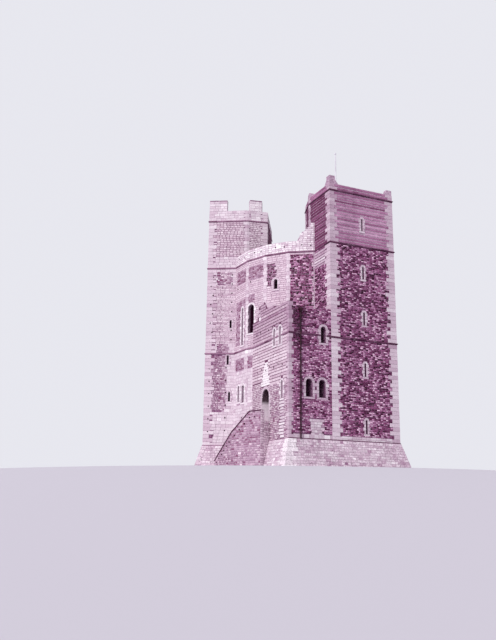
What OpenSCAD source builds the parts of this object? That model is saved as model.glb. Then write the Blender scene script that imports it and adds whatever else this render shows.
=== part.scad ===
/* [Drum] */
// Radius of the many-sided drum, to the corners of its plan
drum_r = 7600; // [6600:50:9500]
// Number of facets round the drum, a multiple of three so that the turrets fall alike
drum_sides = 21; // [15:6:27]
// Radius of the round rooms inside the drum
room_r = 4000; // [3300:50:4800]
// Thickness of wall left outside the window recesses
light_reveal = 1200; // [900:10:1500]

/* [Turrets] */
// Width of each rectangular turret
turret_w = 6400; // [5600:50:7700]
// Distance from the middle of the keep to a turret's outer face
turret_reach = 9600; // [9000:50:11500]
// Distance from the middle at which a turret's straight sides end and its taper starts
turret_root = 5900; // [5300:50:6400]
// Width of a turret's inner end, where it meets the round rooms
neck_w = 5140; // [4200:20:5300]
// Thickness of a turret's outer walls
turret_wall = 1600; // [1100:50:1900]

/* [Heights] */
// Top of the battered plinth
plinth_top = 2400; // [1600:50:3000]
// How far the plinth spreads at the ground
plinth_spread = 750; // [300:10:950]
// Width of the ledge on top of the plinth
plinth_ledge = 60; // [20:5:120]
// Level of the entrance floor and the lower hall
hall_z = 4000; // [3400:50:4600]
// Level of the upper hall floor, just under the middle string course
upper_hall_z = 10700; // [9800:50:11200]
// Top of the middle string course
middle_z = 10900; // [10000:50:11600]
// Top of the upper string course, where the drum's parapet starts
upper_z = 19200; // [17600:50:20800]
// Top of the turret walls, at their own string course
turret_z = 24000; // [22600:50:26500]

/* [Parapets] */
// Height of the worn drum parapet
drum_parapet_h = 950; // [500:10:1500]
// Height of the broken parapet wall that clings to a turret's side, above the worn parapet
scar_h = 1650; // [800:10:2200]
// Height of a turret's parapet wall between its merlons
parapet_h = 1000; // [600:10:1400]
// Height of the parapet across a turret's inner end
end_parapet_h = 500; // [300:10:900]
// Height of a merlon above the parapet wall
merlon_h = 1100; // [500:10:1400]
// Length of a merlon along the wall
merlon_l = 1700; // [900:10:1900]
// Thickness of the parapet walls
parapet_t = 550; // [350:10:700]
// Height of the worn south parapet
worn_parapet_h = 550; // [300:10:800]
// Height of the tallest worn corner stump above its parapet
stump_h = 750; // [300:10:1100]

/* [String courses] */
// How far a string course stands out from the wall
string_out = 130; // [60:5:200]
// Height of a string course
string_h = 240; // [140:5:320]

/* [Forebuilding] */
// How far the forebuilding reaches beside the south turret
fore_w = 3900; // [3300:50:4100]
// Thickness of the forebuilding's walls
fore_wall = 1200; // [800:50:1300]
// Level of the forebuilding's upper floor
fore_upper_z = 9100; // [8600:50:9300]
// Top of the forebuilding's walls at their outer corner
fore_top = 13450; // [12800:50:14400]
// Clear width of the entrance archway
door_w = 1400; // [1100:10:1600]
// Height at which the entrance arch springs
door_spring = 6080; // [5700:10:6300]
// Width of the stones of the entrance arch
arch_ring = 220; // [140:5:260]

/* [Windows] */
// Width of a turret loop at the outer face
loop_w = 180; // [120:5:260]
// Height of a turret loop
loop_h = 1150; // [800:10:1300]
// Width of a loop's splay at the inner face
loop_splay = 700; // [400:10:900]
// Floor thickness
floor_t = 300; // [200:10:400]

/* [Stair] */
// Thickness of the wall that carries the stair's outer side
stair_wall_t = 420; // [300:10:500]
// Height of the stair's side wall above the steps
stair_wall_h = 850; // [600:10:1000]
// Number of steps in the lower flight
lower_steps = 12; // [9:1:14]
// Number of steps in the upper flight
upper_steps = 8; // [6:1:10]

/* [Fittings] */
// Radius of the rainwater pipe
pipe_r = 60; // [40:5:80]
// Distance of the rainwater pipe's middle from the wall
pipe_out = 130; // [90:5:180]
// Distance of the rainwater pipe from the forebuilding's outer corner
pipe_side = 990; // [700:10:1400]
// Radius of the flagpole
pole_r = 55; // [40:5:80]
// Height of the flagpole above the turret roof
pole_h = 4600; // [3000:50:6500]

/* [Hidden] */

ashlar = [0.80, 0.72, 0.80];
rubble = [0.47, 0.33, 0.45];
coursed = [0.62, 0.48, 0.60];
lead = [0.50, 0.46, 0.52];
boards = [0.40, 0.32, 0.36];
iron = [0.22, 0.16, 0.21];
white = [0.86, 0.84, 0.88];

// A cut is made this much longer than what it passes through
over = 50;
// Smoothness of the round window heads
arc = 24;
// Smoothness of the round rooms
round_fn = 360;

south = -90;
east = 30;
west = 150;
turret_angles = [south, west, east];
// The three stretches of drum between the turrets, named by the angle of their middle
southwest = -150;
north = 90;
southeast = -30;

half_w = turret_w / 2;
facet = 360 / drum_sides;
// Distance from the middle of the keep to the flat of a drum facet
drum_flat = drum_r * cos(facet / 2);
// Angle by which a turret's inner part narrows towards the rooms
taper = atan2(half_w - neck_w / 2, turret_root - room_r);
far = 3 * turret_reach;

// Turret chambers: a rectangle between the outer walls and the taper
chamber_w = turret_w - 2 * turret_wall;
chamber_out = turret_reach - turret_wall;
// Levels of the chamber floors: a few steps above the two hall floors, and two over them
low_chamber_z = hall_z + 550;
high_chamber_z = upper_hall_z + 300;
top_chamber_z = upper_z + floor_t;
chamber_floors = [low_chamber_z, high_chamber_z, (high_chamber_z + top_chamber_z) / 2, top_chamber_z];
// Sills of the loops in each turret's outer face, from the undercroft up
loop_sills = [plinth_top + 650, low_chamber_z + 3200, high_chamber_z + 1150, chamber_floors[2] + 950,
    top_chamber_z + 1100];
// Loops beside the west turret's chambers: distance from the middle of the keep and sill
side_loops = [[7300, low_chamber_z + 1850], [7500, high_chamber_z - 1200], [7300, high_chamber_z + 2280]];
side_loop_h = 880;
side_loop_splay = 500;
// Depth of a loop before it splays, and of the wider lights
light_throat = 300;
// How much higher and lower a splay is than its light
splay_rise = 80;
passage_w = 900;
passage_h = 2200;
// Doorway from the top chamber on to the wall walk: height of its foot over the floor, width, height
walk_door = [800, 950, 2900];

// Lights of one stretch of drum: facets from its middle, place along the facet, sill, width, height
lower_lights = [[-1.5, -200, hall_z + 2230, 300, 1450], [-1.5, 650, hall_z + 2100, 450, 1600]];
upper_lights = [[-1.5, 350, upper_hall_z + 650, 360, 3500], [-0.5, -570, upper_hall_z + 1550, 760, 2650]];
high_light = [0.5, -80, upper_hall_z + 5200, 350, 900];
high_light_splay = 900;
high_light_throat = 400;
// The window recesses behind them: facets from the middle, place along, sill, width, height
recesses = [[-1.5, 300, hall_z + 1200, 1300, 2900], [-1, 0, upper_hall_z + 300, 1800, 4200]];
// Cuts into the round rooms run this far past the wall, so that they pass its curve
room_cut = 300;

wall_head = upper_z + drum_parapet_h;
// A turret's roof: rise, height of its edge, run of its hip, and the gutter left behind the parapet
roof_rise = 250;
roof_edge = 60;
roof_hip = 700;
roof_gutter = 90;
// The drum's roof: its rim's underside below the wall top, its thickness and its rise to the middle
drum_eaves = 100;
drum_roof_t = 300;
drum_roof_rise = 1350;
pole_foot = [7200, -1150];
pole_cap_r = pole_r + 35;
fore_left = -half_w - fore_w;
fore_front = -turret_reach;
// The forebuilding's plan runs back well inside the drum
fore_depth = turret_reach - drum_flat / 4;
// Underside and thickness of the forebuilding's roof, below fore_top
fore_roof_drop = 800;
fore_roof_t = 300;
door_y = -5300;
// Angle of the inner doorway, from the forebuilding into the lower hall
hall_door_angle = south - 41;
hall_door_w = 1100;
hall_door_h = 2500;
// Wall heads of the forebuilding, as broken today: distance from the outer corner, drop below fore_top
front_head = [[0, 0], [550, 20], [650, 320], [1450, 380], [1550, 440], [2700, 440], [2800, 300], [fore_w, 300]];
side_head = [[0, 0], [1500, 40], [2600, -160], [3600, -290], [4150, -360], [4600, -900], [4850, -1060],
    [5300, -900], [5900, -760], [6200, 380], [fore_depth, 400]];
// Windows of the forebuilding: place, sill, width, height
side_windows = [[-6930, fore_upper_z + 1100, 380, 1430], [-8000, fore_upper_z + 1050, 420, 1500]];
slit_window = [-8380, hall_z + 1650, 340, 1450];
side_splay = 100;
front_splay = 160;
front_windows = [[-5290, hall_z + 1740, 620, 1450], [-4100, hall_z + 1740, 620, 1450],
    [-3960, fore_upper_z + 1130, 480, 1380]];

// Stair: the outer face runs square to the keep's west side, then turns towards the entrance
stair_out = fore_left - 2200;
stair_turn_y = door_y + 2000;
stair_foot_y = stair_turn_y + 3800;
stair_top = [fore_left - 1460, door_y];
landing_back_y = door_y - door_w / 2 - 60;
// The landing's side towards the drum: place along the forebuilding, then a point well under the drum
landing_side_y = door_y + 1300;
landing_inner = [fore_left + 600, door_y + 2300];
step_h = hall_z / (lower_steps + upper_steps);
// The flights run in under the walls that they lean on, and are cut back to them
flight_w = 3000;
// Direction and length of the upper flight, and of the wall beside the landing beyond it
upper_dir = atan2(stair_top[1] - stair_turn_y, stair_top[0] - stair_out);
upper_run = norm(stair_top - [stair_out, stair_turn_y]);
landing_run = 1300;
// Rainwater pipe: its top, and its hopper's foot, height, flare to each side, height at which it is
// widest, and lip beyond the pipe
pipe_top = fore_top - 700;
hopper_z = fore_top - 900;
hopper_h = 380;
hopper_flare = 90;
hopper_foot = 220;
hopper_lip = 40;
// Number of brackets, and the level of the lowest
brackets = 5;
bracket_foot = plinth_top + 700;
bracket_h = 60;
bracket_clear = 15;
stair_along = [cos(upper_dir), sin(upper_dir)];
stair_inward = [-sin(upper_dir), cos(upper_dir)];

function polar(r, a) = [r * cos(a), r * sin(a)];

function drum_points(out) =
    [for (i = [0:drum_sides - 1])
        polar(drum_r + out / cos(facet / 2), south + (i + 0.5) * facet)];

// Outline of a turret in its own frame, +X outwards, grown (or shrunk) by out on every side; its
// taper ends inside the round rooms
function turret_points(out) =
    let (w = half_w + out,
         root = turret_root - out * tan(taper / 2),
         inner = room_r / 2,
         mid = neck_w / 2 - (room_r - inner) * tan(taper) + out / cos(taper))
    [[turret_reach + out, -w], [turret_reach + out, w], [root, w], [inner, mid], [inner, -mid], [root, -w]];

module turret_plan(out = 0) {
    polygon(turret_points(out));
}

// Above the drum a turret ends square, where it meets the rooms
module turret_head_plan(out = 0) {
    intersection() {
        turret_plan(out);
        translate([room_r - out, -far]) square([far, 2 * far]);
    }
}

module drum_plan(out = 0) {
    polygon(drum_points(out));
}

module fore_plan(out = 0) {
    translate([fore_left - out, fore_front - out])
        square([fore_w + out, fore_depth + out]);
}

module at_turret(angle) {
    rotate([0, 0, angle]) children();
}

module at_each_turret() {
    for (angle = turret_angles) at_turret(angle) children();
}

module keep_plan(out = 0) {
    drum_plan(out);
    at_each_turret() turret_plan(out);
}

// A prism between two heights
module storey(z0, z1) {
    translate([0, 0, z0]) linear_extrude(z1 - z0) children();
}

// The wedge of plan that belongs to one stretch of the drum
module sector_plan(middle) {
    polygon([[0, 0], polar(far, middle - 60), polar(far, middle), polar(far, middle + 60)]);
}

module room_hole(z0, z1) {
    translate([0, 0, z0]) cylinder(h = z1 - z0, r = room_r, $fn = round_fn);
}

// Things placed on an outer face: +X outwards, origin on the face, side is along +Y
module on_face(angle, distance, side = 0, z = 0) {
    rotate([0, 0, angle]) translate([distance, side, z]) children();
}

// A round-headed opening, sill at the origin, cut inwards along X
module round_headed(w, h, deep, proud = 400) {
    translate([-deep, 0, 0]) rotate([90, 0, 90]) linear_extrude(deep + proud) {
        translate([-w / 2, 0]) square([w, h - w / 2]);
        translate([0, h - w / 2]) circle(d = w, $fn = arc);
    }
}

// A narrow light that splays to a wide flat-headed recess inside
module splayed_light(w, h, wall, inner_w, reveal = light_throat) {
    round_headed(w, h, reveal + over);
    translate([0, 0, -splay_rise]) linear_extrude(h + 2 * splay_rise)
        polygon([[-reveal, -w / 2], [-reveal, w / 2], [-wall - over, inner_w / 2], [-wall - over, -inner_w / 2]]);
}

module loop_light(sill, wall = turret_wall) {
    translate([0, 0, sill]) splayed_light(loop_w, loop_h, wall, loop_splay);
}

// Loops in the outer face of one turret
module front_loops() {
    translate([turret_reach, 0, 0]) for (sill = loop_sills) loop_light(sill);
}

// Windows of one stretch of drum, the same on all three: two halls and a high light
module hall_windows(middle) {
    for (light = concat(lower_lights, upper_lights))
        on_face(middle + light[0] * facet, drum_flat, light[1], light[2])
            round_headed(light[3], light[4], light_reveal + 2 * over);
    for (recess = recesses) {
        depth = drum_flat - light_reveal - room_r + room_cut;
        on_face(middle + recess[0] * facet, drum_flat - light_reveal, recess[1], recess[2])
            round_headed(recess[3], recess[4], depth, 0);
    }
    on_face(middle + high_light[0] * facet, drum_flat, high_light[1], high_light[2])
        splayed_light(high_light[3], high_light[4], drum_flat - room_r + room_cut, high_light_splay,
            high_light_throat);
}

// The way in from the forebuilding through the drum wall
module hall_doorway() {
    on_face(hall_door_angle, drum_r, 0, hall_z)
        round_headed(hall_door_w, hall_door_h, drum_r - room_r + room_cut);
}

module drum_wall(middle, z0, z1) {
    difference() {
        storey(z0, z1) intersection() {
            drum_plan();
            sector_plan(middle);
        }
        at_each_turret() storey(z0 - over, z1 + over) turret_plan();
        room_hole(z0 - over, z1 + over);
        hall_windows(middle);
        if (middle == southwest) hall_doorway();
    }
}

module southwest_lower_wall() { color(ashlar) drum_wall(southwest, plinth_top, middle_z); }
module north_lower_wall() { color(ashlar) drum_wall(north, plinth_top, middle_z); }
module southeast_lower_wall() { color(ashlar) drum_wall(southeast, plinth_top, middle_z); }
module southwest_upper_wall() { color(coursed) drum_wall(southwest, middle_z, upper_z); }
module north_upper_wall() { color(coursed) drum_wall(north, middle_z, upper_z); }
module southeast_upper_wall() { color(coursed) drum_wall(southeast, middle_z, upper_z); }

module drum_parapet_ring(z0, z1) {
    storey(z0, z1) difference() {
        drum_plan();
        drum_plan(-parapet_t);
    }
}

// What is left of the full parapet beside a turret, broken off on a slope
module parapet_scar() {
    side = drum_r * sin(facet / 2);
    at_each_turret() on_face(-2 * facet, drum_flat)
        rotate([90, 0, -90]) translate([0, 0, -over]) linear_extrude(2 * parapet_t)
            polygon([[0.3 * side, wall_head - over], [0.3 * side, wall_head], [-0.1 * side, wall_head + 0.5 * scar_h],
                [-0.5 * side, wall_head + 0.65 * scar_h], [-0.8 * side, wall_head + scar_h],
                [-1.5 * side, wall_head + scar_h], [-1.5 * side, wall_head - over]]);
}

module drum_parapet() {
    color(coursed) difference() {
        union() {
            drum_parapet_ring(upper_z, wall_head);
            intersection() {
                drum_parapet_ring(wall_head - over, wall_head + scar_h);
                parapet_scar();
            }
        }
        at_each_turret() storey(upper_z - over, wall_head + scar_h + over) turret_plan();
    }
}

// Battered base between an outline at the ground and one at the plinth's top
module batter(low, high) {
    n = len(low);
    polyhedron(
        points = concat([for (p = low) [p[0], p[1], 0]], [for (p = high) [p[0], p[1], plinth_top]]),
        faces = concat([[for (i = [0:n - 1]) i]], [[for (i = [0:n - 1]) 2 * n - 1 - i]],
            [for (i = [0:n - 1]) [i, n + i, n + (i + 1) % n, (i + 1) % n]]));
}

// Corners of a plan that starts at x0 and ends at x1, between y0 and y1
function corners(x0, x1, y0, y1) = [[x0, y0], [x1, y0], [x1, y1], [x0, y1]];

module turret_batter() {
    spread_w = half_w + plinth_spread;
    batter(corners(turret_root, turret_reach + plinth_spread, -spread_w, spread_w),
           corners(turret_root, turret_reach + plinth_ledge, -half_w - plinth_ledge, half_w + plinth_ledge));
}

module drum_batter() {
    batter(drum_points(plinth_spread), drum_points(plinth_ledge));
}

module fore_batter() {
    back = fore_front + fore_depth;
    inner = -half_w + plinth_spread;
    batter(corners(fore_left - plinth_spread, inner, fore_front - plinth_spread, back),
           corners(fore_left - plinth_ledge, inner, fore_front - plinth_ledge, back));
}

// The drum's plinth is a whole ring, and the turrets' plinths butt against it
module drum_plinth() {
    color(ashlar) difference() {
        drum_batter();
        room_hole(-over, plinth_top + over);
    }
}

module turret_plinths() {
    color(ashlar) at_each_turret() difference() {
        turret_batter();
        rotate([0, 0, -south]) drum_batter();
    }
}

module fore_plinth() {
    color(ashlar) difference() {
        fore_batter();
        drum_batter();
        at_turret(south) turret_batter();
    }
}

module front_wall() {
    difference() {
        storey(plinth_top, upper_z)
            translate([chamber_out, -half_w]) square([turret_wall, turret_w]);
        front_loops();
    }
}

module side_wall_pair() {
    for (side = [-1, 1])
        storey(plinth_top, upper_z)
            translate([turret_root, side * (half_w - turret_wall / 2) - turret_wall / 2])
                square([chamber_out - turret_root, turret_wall]);
}

// Loops on the side of the west turret
module west_side_loops() {
    for (place = side_loops)
        translate([place[0], half_w, place[1]])
            rotate([0, 0, 90]) splayed_light(loop_w, side_loop_h, turret_wall, side_loop_splay);
}

// The inner part, from the chambers to the round rooms, with a passage at each hall
module inner_wall() {
    difference() {
        storey(plinth_top, upper_z) intersection() {
            turret_plan();
            translate([0, -half_w]) square([turret_root, turret_w]);
        }
        room_hole(plinth_top - over, upper_z + over);
        for (door_z = [low_chamber_z, high_chamber_z])
            translate([turret_root, 0, door_z])
                round_headed(passage_w, passage_h, turret_root - room_r + room_cut, over);
    }
}

module turret_top() {
    difference() {
        storey(upper_z, turret_z) difference() {
            turret_head_plan();
            translate([turret_root, -chamber_w / 2]) square([chamber_out - turret_root, chamber_w]);
        }
        front_loops();
        translate([turret_root, 0, top_chamber_z + walk_door[0]])
            round_headed(walk_door[1], walk_door[2], turret_root - room_r + over, over);
    }
}

module south_front_wall() { color(rubble) at_turret(south) front_wall(); }
module west_front_wall() { color(rubble) at_turret(west) front_wall(); }
module east_front_wall() { color(rubble) at_turret(east) front_wall(); }
module south_side_walls() { color(rubble) at_turret(south) side_wall_pair(); }
module east_side_walls() { color(rubble) at_turret(east) side_wall_pair(); }
module west_side_walls() {
    color(coursed) at_turret(west) difference() {
        side_wall_pair();
        west_side_loops();
    }
}
module south_inner_wall() { color(coursed) at_turret(south) inner_wall(); }
module west_inner_wall() { color(coursed) at_turret(west) inner_wall(); }
module east_inner_wall() { color(coursed) at_turret(east) inner_wall(); }
module south_turret_top() { color(coursed) at_turret(south) turret_top(); }
module west_turret_top() { color(coursed) at_turret(west) turret_top(); }
module east_turret_top() { color(coursed) at_turret(east) turret_top(); }

// A parapet wall all round the head of a turret, lower across its inner end
module parapet_ring(z0, z1) {
    difference() {
        storey(z0, z1) difference() {
            turret_head_plan();
            turret_head_plan(-parapet_t);
        }
        translate([0, -far, turret_z + end_parapet_h]) cube([room_r + parapet_t, 2 * far, far]);
    }
}

// Squares over the outer corners and the ends of the taper, where merlons stand
module merlon_plan() {
    for (side = [-1, 1]) {
        translate([turret_reach - merlon_l, side * (half_w - merlon_l / 2) - merlon_l / 2])
            square(merlon_l);
        translate([room_r, side * neck_w / 2]) rotate([0, 0, side * taper])
            translate([0, side < 0 ? -over : over - merlon_l]) square(merlon_l);
    }
}

module crenellated_parapet() {
    wall_top = turret_z + parapet_h;
    parapet_ring(turret_z, wall_top);
    storey(wall_top - over, wall_top + merlon_h) intersection() {
        difference() {
            turret_head_plan();
            turret_head_plan(-parapet_t);
        }
        merlon_plan();
        translate([room_r + parapet_t, -far]) square([far, 2 * far]);
    }
}

// A corner stump left by decay: highest at the corner, ramped down along both walls
module stump(h) {
    run = 900;
    for (turn = [0, 1]) mirror([turn, -turn, 0])
        rotate([90, 0, 0]) translate([0, 0, -parapet_t]) linear_extrude(parapet_t)
            polygon([[0, -over], [run, -over], [run, 0], [parapet_t, h * 0.55], [parapet_t * 0.6, h], [0, h]]);
}

module worn_parapet() {
    wall_top = turret_z + worn_parapet_h;
    parapet_ring(turret_z, wall_top);
    translate([turret_reach, -half_w, wall_top]) rotate([0, 0, 90]) stump(stump_h);
    translate([turret_reach, half_w, wall_top]) rotate([0, 0, 180]) stump(stump_h * 0.6);
    // The stumps over the bends where the taper starts
    intersection() {
        parapet_ring(wall_top - over, wall_top + stump_h);
        translate([turret_root, far, wall_top]) rotate([90, 0, 0]) linear_extrude(2 * far)
            polygon([[-700, -over], [-550, 0.6 * stump_h], [100, 0.65 * stump_h], [600, 0], [650, -over]]);
    }
}

module south_parapet() { color(coursed) at_turret(south) worn_parapet(); }
module west_parapet() { color(coursed) at_turret(west) crenellated_parapet(); }
module east_parapet() { color(coursed) at_turret(east) crenellated_parapet(); }

module turret_floors() {
    color(boards) at_each_turret() for (top = chamber_floors)
        storey(top - floor_t, top)
            translate([turret_root, -chamber_w / 2]) square([chamber_out - turret_root, chamber_w]);
}

// A low lead roof over each turret, hipped up to a flat
module turret_roofs() {
    x0 = room_r + parapet_t + 10;
    x1 = turret_reach - parapet_t - 10;
    // Half the room between the parapets where the taper is narrowest
    y0 = neck_w / 2 + (x0 - room_r) * tan(taper) - parapet_t / cos(taper) - roof_gutter;
    color(lead) at_each_turret() hull() {
        translate([x0, -y0, turret_z]) cube([x1 - x0, 2 * y0, roof_edge]);
        translate([x0 + roof_hip, roof_hip - y0, turret_z])
            cube([x1 - x0 - 2 * roof_hip, 2 * (y0 - roof_hip), roof_rise]);
    }
}

module disc_floor(top, thick) {
    translate([0, 0, top - thick]) cylinder(h = thick, r = room_r, $fn = round_fn);
}

module ground_floor() { color(ashlar) disc_floor(floor_t, floor_t); }
module lower_hall_floor() { color(boards) disc_floor(hall_z, floor_t); }
module upper_hall_floor() { color(boards) disc_floor(upper_hall_z, floor_t); }

// A low conical lead roof behind the parapet, open underneath, its rim built into the wall head
module drum_roof() {
    color(lead) translate([0, 0, upper_z]) rotate_extrude($fn = round_fn)
        polygon([[0, drum_roof_rise - drum_eaves], [room_r, -drum_eaves], [room_r, drum_roof_t - drum_eaves],
            [0, drum_roof_rise + drum_roof_t - drum_eaves]]);
}

// Forebuilding, in the corner between the south turret and the drum
module fore_side_windows() {
    for (window = side_windows)
        on_face(180, -fore_left, -window[0], window[1])
            splayed_light(window[2], window[3], fore_wall, window[2] + side_splay);
    on_face(180, -fore_left, -slit_window[0], slit_window[1])
        round_headed(slit_window[2], slit_window[3], fore_wall + over);
}

module fore_front_windows() {
    for (window = front_windows)
        on_face(south, turret_reach, window[0], window[1])
            splayed_light(window[2], window[3], fore_wall, window[2] + front_splay);
}

// Elevation of a wall from the plinth up to its broken head
module wall_face(head) {
    polygon(concat([for (p = head) [p[0], fore_top - p[1]]],
        [[head[len(head) - 1][0], plinth_top], [0, plinth_top]]));
}

module fore_front_wall() {
    color(rubble) difference() {
        translate([fore_left, fore_front + fore_wall, 0]) rotate([90, 0, 0])
            linear_extrude(fore_wall) wall_face(front_head);
        storey(plinth_top - over, far) drum_plan();
        fore_front_windows();
    }
}

module arch_opening(w, deep) {
    on_face(180, -fore_left, -door_y, hall_z) round_headed(w, door_spring - hall_z + w / 2, deep);
}

module fore_side_wall() {
    color(coursed) difference() {
        translate([fore_left, fore_front, 0]) rotate([90, 0, 90])
            linear_extrude(fore_wall) wall_face(side_head);
        translate([fore_left - over, fore_front - over, plinth_top - over])
            cube([fore_wall + 2 * over, fore_wall + over, far]);
        storey(plinth_top - over, far) drum_plan();
        fore_side_windows();
        arch_opening(door_w + 2 * arch_ring, fore_wall + over);
    }
}

module entrance_arch() {
    color(ashlar) intersection() {
        translate([fore_left, door_y - far, 0]) cube([fore_wall, 2 * far, far]);
        difference() {
            arch_opening(door_w + 2 * arch_ring, fore_wall);
            translate([0, 0, -over]) arch_opening(door_w, fore_wall + over);
            arch_opening(door_w, fore_wall + over);
            storey(0, fore_top) drum_plan();
        }
    }
}

module fore_room_plan() {
    difference() {
        translate([fore_left + fore_wall, fore_front + fore_wall])
            square([fore_w - fore_wall, fore_depth - fore_wall]);
        drum_plan();
    }
}

module fore_floors() {
    color(boards) {
        storey(plinth_top, hall_z) fore_room_plan();
        storey(fore_upper_z - floor_t, fore_upper_z) fore_room_plan();
    }
}

module fore_roof() {
    color(lead) storey(fore_top - fore_roof_drop, fore_top - fore_roof_drop + fore_roof_t) fore_room_plan();
}

// String courses: mitred bands that follow the outline, cut where a window passes
module middle_string_course() {
    color(ashlar) difference() {
        storey(middle_z - string_h, middle_z) difference() {
            union() {
                keep_plan(string_out);
                fore_plan(string_out);
            }
            keep_plan();
            fore_plan();
        }
        fore_side_windows();
        fore_front_windows();
        hall_windows(southwest);
        hall_windows(north);
        hall_windows(southeast);
        at_turret(west) west_side_loops();
        pipe_shaft(pipe_r + bracket_clear);
    }
}

module upper_string_course() {
    color(ashlar) storey(upper_z - string_h, upper_z) difference() {
        keep_plan(string_out);
        keep_plan();
    }
}

module turret_string_courses() {
    color(ashlar) at_each_turret() storey(turret_z - string_h, turret_z) difference() {
        turret_head_plan(string_out);
        turret_head_plan();
    }
}

// Everything that the stair leans on
module stair_backing() {
    drum_batter();
    at_turret(west) turret_batter();
    fore_batter();
    storey(0, hall_z + 3000) {
        drum_plan();
        fore_plan();
        at_turret(west) turret_plan();
    }
}

module along_upper_flight() {
    translate([stair_out, stair_turn_y, 0]) rotate([0, 0, upper_dir]) children();
}

// Plan of the stair's outer side wall, mitred at its turn
module stair_wall_plan() {
    turn = [stair_out, stair_turn_y];
    end = stair_top + stair_along * landing_run;
    inner_turn = turn + stair_wall_t * (stair_inward + stair_along * (1 - stair_inward[0]) / stair_along[0]);
    polygon([[stair_out, stair_foot_y], turn, end, end + stair_inward * stair_wall_t, inner_turn,
        [stair_out + stair_wall_t, stair_foot_y]]);
}

// The flights climb south along the drum, then turn towards the forebuilding
module lower_flight() {
    tread = (stair_foot_y - stair_turn_y) / lower_steps;
    color(ashlar) difference() {
        for (i = [0:lower_steps - 1])
            translate([stair_out + stair_wall_t / 2, stair_turn_y, 0])
                cube([flight_w, stair_foot_y - stair_turn_y - i * tread, (i + 1) * step_h]);
        storey(-over, far) stair_wall_plan();
        stair_backing();
    }
}

module upper_flight() {
    tread = upper_run / upper_steps;
    color(ashlar) difference() {
        for (i = [0:upper_steps - 1])
            along_upper_flight() translate([i * tread, stair_wall_t / 2, 0])
                cube([upper_run - i * tread, flight_w, (lower_steps + i + 1) * step_h]);
        translate([-far, stair_turn_y, -over]) cube([2 * far, far, far]);
        storey(-over, far) stair_wall_plan();
        stair_backing();
    }
}

module landing_plan() {
    edge = stair_top + stair_inward * stair_wall_t / 2;
    polygon([edge, edge + stair_along * landing_run, [fore_left, landing_back_y],
        [fore_left, landing_side_y], landing_inner]);
}

module stair_landing() {
    color(ashlar) difference() {
        storey(0, hall_z) landing_plan();
        along_upper_flight() translate([-far, -far, -over]) cube([far + upper_run, 2 * far, far]);
        storey(-over, far) stair_wall_plan();
        stair_backing();
    }
}

// The outer side wall: a sloping top beside the flights and a level one beside the landing
module stair_side_wall() {
    z0 = stair_wall_h + step_h;
    z1 = lower_steps * step_h + stair_wall_h;
    z2 = hall_z + stair_wall_h;
    run = stair_foot_y - stair_turn_y;
    lap = 600;
    lap_up = lap * (z1 - z0) / run;
    lap_down = lap * (z2 - z1) / upper_run;
    color(ashlar) difference() {
        intersection() {
            storey(0, far) stair_wall_plan();
            union() {
                translate([stair_out + 1000, stair_foot_y, 0]) rotate([90, 0, -90]) linear_extrude(2000)
                    polygon([[-over, 0], [run + lap, 0], [run + lap, z1 + lap_up], [0, z0], [-over, z0]]);
                along_upper_flight() translate([0, 1000, 0]) rotate([90, 0, 0]) linear_extrude(2000)
                    polygon([[-lap, 0], [far, 0], [far, z2], [upper_run, z2], [-lap, z1 - lap_down]]);
            }
        }
        stair_backing();
    }
}

// The rainwater pipe's own space, from below the plinth's top to the hopper
module pipe_shaft(r) {
    translate([fore_left + pipe_side, fore_front - pipe_out, plinth_top])
        cylinder(h = pipe_top - plinth_top, r = r, $fn = 24);
}

// A round pipe with a hopper at the wall's head, held to the wall by brackets
module rainwater_pipe() {
    x = fore_left + pipe_side;
    flare = pipe_r + hopper_flare;
    rise = hopper_z - 300 - bracket_foot;
    color(iron) {
        pipe_shaft(pipe_r);
        translate([x, fore_front, hopper_z]) rotate([90, 0, 0]) linear_extrude(pipe_out + pipe_r + hopper_lip)
            polygon([[-pipe_r, 0], [pipe_r, 0], [flare, hopper_foot], [flare, hopper_h], [-flare, hopper_h],
                [-flare, hopper_foot]]);
        for (i = [0:brackets - 1])
            translate([x - pipe_r - bracket_clear, fore_front - pipe_out, bracket_foot + i * rise / (brackets - 1)])
                cube([2 * (pipe_r + bracket_clear), pipe_out, bracket_h]);
    }
}

module flagpole() {
    color(white) at_turret(south) translate([pole_foot[0], pole_foot[1], turret_z + roof_rise]) {
        cylinder(h = pole_h, r = pole_r, $fn = 16);
        translate([0, 0, pole_h - over]) cylinder(h = 2 * over, r = pole_cap_r, $fn = 16);
    }
}

ground_floor();
lower_hall_floor();
upper_hall_floor();
drum_roof();
drum_plinth();
turret_plinths();
fore_plinth();
southwest_lower_wall();
north_lower_wall();
southeast_lower_wall();
southwest_upper_wall();
north_upper_wall();
southeast_upper_wall();
drum_parapet();
south_front_wall();
south_side_walls();
south_inner_wall();
south_turret_top();
south_parapet();
west_front_wall();
west_side_walls();
west_inner_wall();
west_turret_top();
west_parapet();
east_front_wall();
east_side_walls();
east_inner_wall();
east_turret_top();
east_parapet();
turret_floors();
turret_roofs();
fore_front_wall();
fore_side_wall();
entrance_arch();
fore_floors();
fore_roof();
middle_string_course();
upper_string_course();
turret_string_courses();
lower_flight();
upper_flight();
stair_landing();
stair_side_wall();
rainwater_pipe();
flagpole();
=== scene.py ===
"""The looks of a stone castle keep, laid course by course over its packed walls."""

import math

import bmesh
import bpy
import numpy as np
from mathutils import Matrix, Vector


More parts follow.
